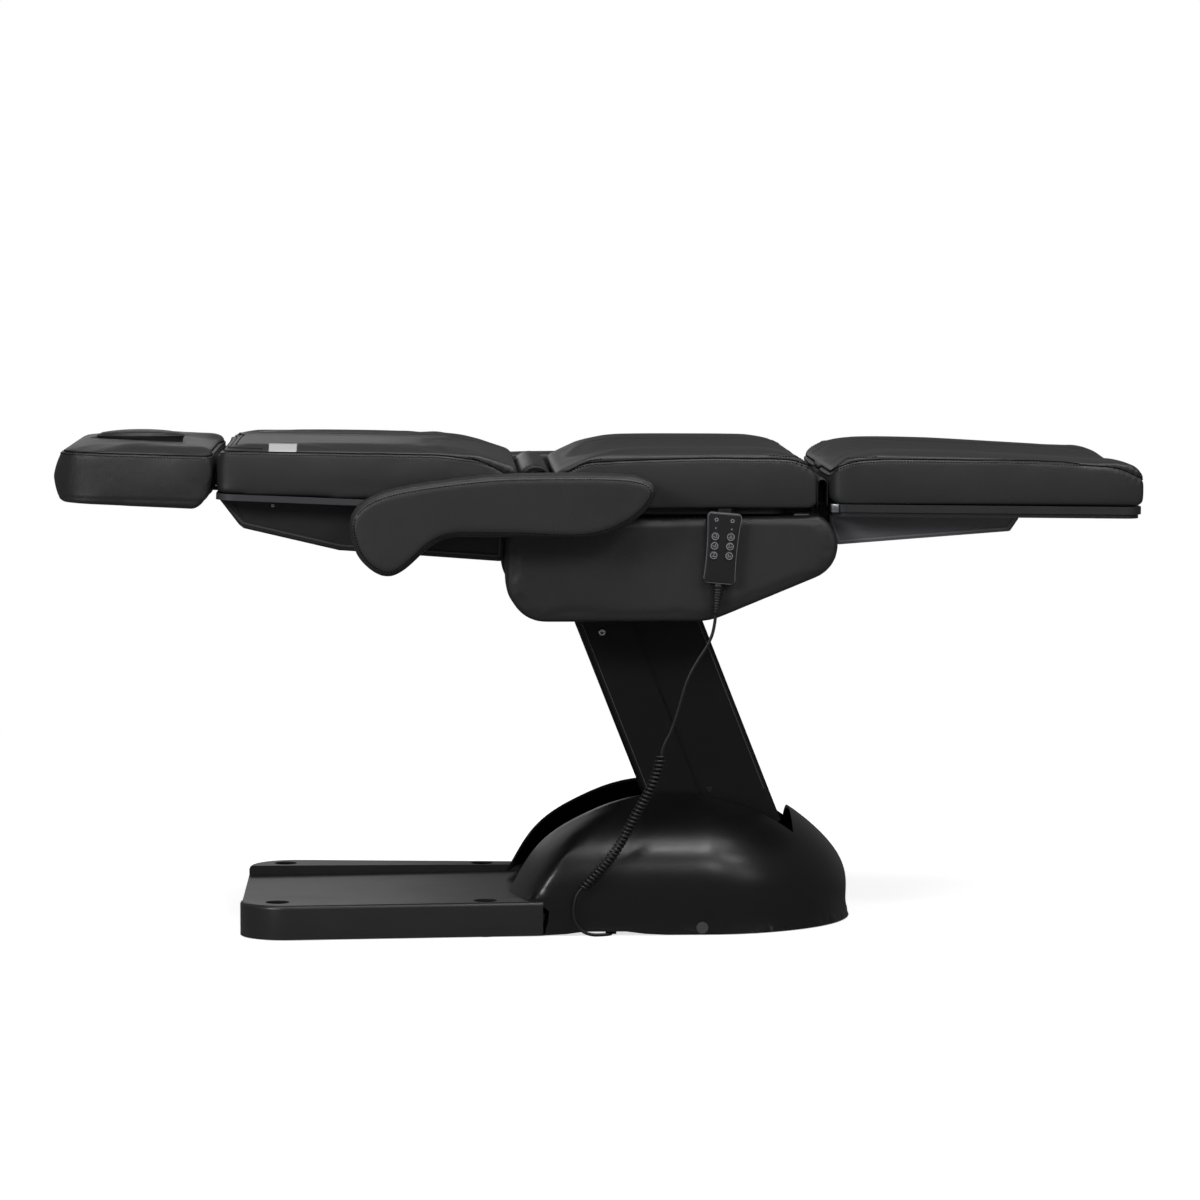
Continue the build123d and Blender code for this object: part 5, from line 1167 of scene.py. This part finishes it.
ink = bmesh.new()
for x in (-13.4, 13.4):
    printed(ink, ring(x, -12.8, 2.6), 0.9, 0.15, True)
    printed(ink, [(x - 1.4, -27), (x + 1.4, -27)], 0.7, 0.15)
    printed(ink, [(x, -28.4), (x, -25.6)], 0.7, 0.16)
for key, bend, way in (
    ("back_up", -1, 1), ("back_down", -1, -1), ("lift_up", 0, 1), ("lift_down", 0, -1), ("leg_up", 1, 1),
    ("leg_down", 1, -1),
):
    key_low, key_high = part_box(f"key_{key}")
    offset = (key_low + key_high) / 2 - hand_origin
    x, y = 1000 * offset.dot(hand_right), 1000 * offset.dot(hand_up)
    top = 1000 * (hand_origin.y - key_low.y) + 0.12
    printed(ink, ring(x, y, 5.6), 0.8, top, True)
    couch = [(-3.6, 2.4 if bend < 0 else 0), (-1.2, 0), (1.2, 0), (3.6, 2.4 if bend > 0 else 0)]
    printed(ink, [(x + across, y - 1.6 + up) for across, up in couch], 0.7, top)
    for stroke in arrow(x - 1.6 * bend, y + 1.6, way):
        printed(ink, stroke, 0.6, top + 0.01)
bmesh.ops.recalc_face_normals(ink, faces=ink.faces)
for face in ink.faces:
    if face.normal.y > 0:
        face.normal_flip()
ink_piece = new_piece("handset_print", ink, print_ink, "handset", smooth=False)

# Cords: round black PVC leads from the handset. A ribbed relief leaves the handset, the lead drops in
# front of the column, curls for most of its length and goes round the base into the gland under it.
cord_rubber = moulded("black_pvc_lead", "161617", 0.46, 1.0, 0.02)
lead_radius = 0.0028


def spline_of(name, points, radius=0.0):
    """A smooth round lead, or with no radius its bare centre line."""
    data = bpy.data.curves.new(name, "CURVE")
    data.dimensions = "3D"
    data.resolution_u = 4 if radius and len(points) > 60 else 16
    run = data.splines.new("NURBS")
    run.points.add(len(points) - 1)
    for spot, point in zip(run.points, points):
        spot.co = (*point, 1)
    run.order_u = 3
    run.use_endpoint_u = True
    data.bevel_depth = radius
    data.bevel_resolution = 3
    data.use_fill_caps = bool(radius)
    return bpy.data.objects.new(name, data)


def points_of(line):
    """Points along a curve that has no bevel."""
    scene.collection.objects.link(line)
    mesh = mesh_of(line)
    points = [vert.co.copy() for vert in mesh.vertices]
    bpy.data.objects.remove(line)
    return points


def tube(name, points):
    """A lead as a mesh, and the points that it follows."""
    lead = spline_of(name, points, lead_radius)
    scene.collection.objects.link(lead)
    mesh = mesh_of(lead)
    bpy.data.objects.remove(lead)
    piece = bpy.data.objects.new(name, mesh)
    scene.collection.objects.link(piece)
    mesh.materials.clear()
    mesh.materials.append(cord_rubber)
    for face in mesh.polygons:
        face.use_smooth = True
    return piece, points_of(spline_of(f"{name}_line", points))


upper_route = [
    (0.2019, -0.303, 0.5531), (0.1997, -0.303, 0.5275), (0.189, -0.303, 0.501), (0.173, -0.303, 0.477),
    (0.160, -0.303, 0.455), (0.150, -0.303, 0.431), (0.140, -0.302, 0.393), (0.127, -0.300, 0.353),
    (0.1143, -0.2985, 0.331), (0.11106, -0.2985, 0.3153),
]
upper_lead, upper_points = tube("lead_upper", upper_route)
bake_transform(upper_lead)
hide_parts("cord_upper")

curl_route = [
    (0.11106, -0.2985, 0.3153), (0.103, -0.2985, 0.276), (0.082, -0.292, 0.237), (0.060, -0.284, 0.196),
    (0.038, -0.277, 0.153), (0.011, -0.270, 0.117), (-0.022, -0.268, 0.084),
]
curl_turns = 38
curl_radius = 0.006
points_per_turn = 14
axis_line = evened(points_of(spline_of("curl_axis", curl_route)), 0.001, closed=False)
count = curl_turns * points_per_turn
side_way = Vector((0, 1, 0))
helix = []
for number in range(count + 1):
    share = number / count
    place = min(len(axis_line) - 2, int(share * (len(axis_line) - 1)))
    rest = share * (len(axis_line) - 1) - place
    centre = axis_line[place].lerp(axis_line[place + 1], rest)
    ahead = (axis_line[min(place + 3, len(axis_line) - 1)] - axis_line[max(place - 3, 0)]).normalized()
    side_way = (side_way - ahead * side_way.dot(ahead)).normalized()
    other_way = ahead.cross(side_way)
    lead_in = min(1, 2 * number / points_per_turn, 2 * (count - number) / points_per_turn)
    reach = curl_radius * (3 * lead_in ** 2 - 2 * lead_in ** 3)
    turn = 2 * math.pi * number / points_per_turn
    helix.append(centre + side_way * reach * math.cos(turn) + other_way * reach * math.sin(turn))
middle = count // 2
for name, run, bodies, start, end in (
    ("lead_curl_upper", helix[:middle + 1], ("seat", "front_arm"), curl_route[0], curl_route[3]),
    ("lead_curl_lower", helix[middle:], ("front_arm", "base"), curl_route[3], curl_route[6]),
):
    lead, points = tube(name, [tuple(point) for point in run])
    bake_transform(lead)
    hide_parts("cord_curl")

lower_route = [
    (-0.022, -0.268, 0.084), (-0.0305, -0.2675, 0.0755), (-0.035, -0.268, 0.060), (-0.037, -0.268, 0.046),
    (-0.0355, -0.268, 0.032), (-0.030, -0.268, 0.019), (-0.020, -0.267, 0.009), (-0.006, -0.265, 0.004),
    (0.009, -0.261, 0.0032), (0.0225, -0.255, 0.0032), (0.0285, -0.246, 0.0032), (0.0285, -0.236, 0.0032),
]
lower_lead, lower_points = tube("lead_lower", lower_route)
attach(lower_lead, "base")
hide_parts("cord_lower")

# Strain relief: a soft PVC sleeve moulded on the lead where it leaves the handset, with nine ribs that
# taper towards the lead.
relief_top = Vector((0.2065, -0.303, 0.6060))
relief_tip = Vector(upper_route[0])
relief_way = (relief_tip - relief_top).normalized()
sleeve = bmesh.new()
axis_radius = 0.0001
profile = [(axis_radius, 0.0), (0.0094, 0.0)]
rib_count = 9
relief_length = (relief_tip - relief_top).length
rib_pitch = (relief_length - 0.012) / rib_count
for rib in range(rib_count):
    base = 0.006 + rib * (relief_length - 0.012) / rib_count
    outer = 0.0090 - 0.0036 * rib / (rib_count - 1)
    inner = outer - 0.0011
    profile += [
        (outer, base), (outer, base + 0.55 * rib_pitch), (inner, base + 0.68 * rib_pitch),
        (inner, base + 0.92 * rib_pitch),
    ]
profile += [(0.0046, relief_length - 0.004), (0.0042, relief_length), (axis_radius, relief_length)]
line = [sleeve.verts.new((radius, 0, depth)) for radius, depth in profile]
edges = [sleeve.edges.new(pair) for pair in zip(line, line[1:])]
bmesh.ops.spin(
    sleeve, geom=line + edges, cent=(0, 0, 0), axis=(0, 0, 1), angle=2 * math.pi, steps=28, use_merge=True,
)
bmesh.ops.remove_doubles(sleeve, verts=sleeve.verts, dist=0.00015)
bmesh.ops.recalc_face_normals(sleeve, faces=sleeve.faces)
bmesh.ops.transform(
    sleeve, verts=sleeve.verts,
    matrix=Matrix.Translation(relief_top) @ relief_way.to_track_quat("Z", "Y").to_matrix().to_4x4(),
)
relief_piece = new_piece("handset_relief_sleeve", sleeve, cord_rubber, "handset")
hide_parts("handset_relief")
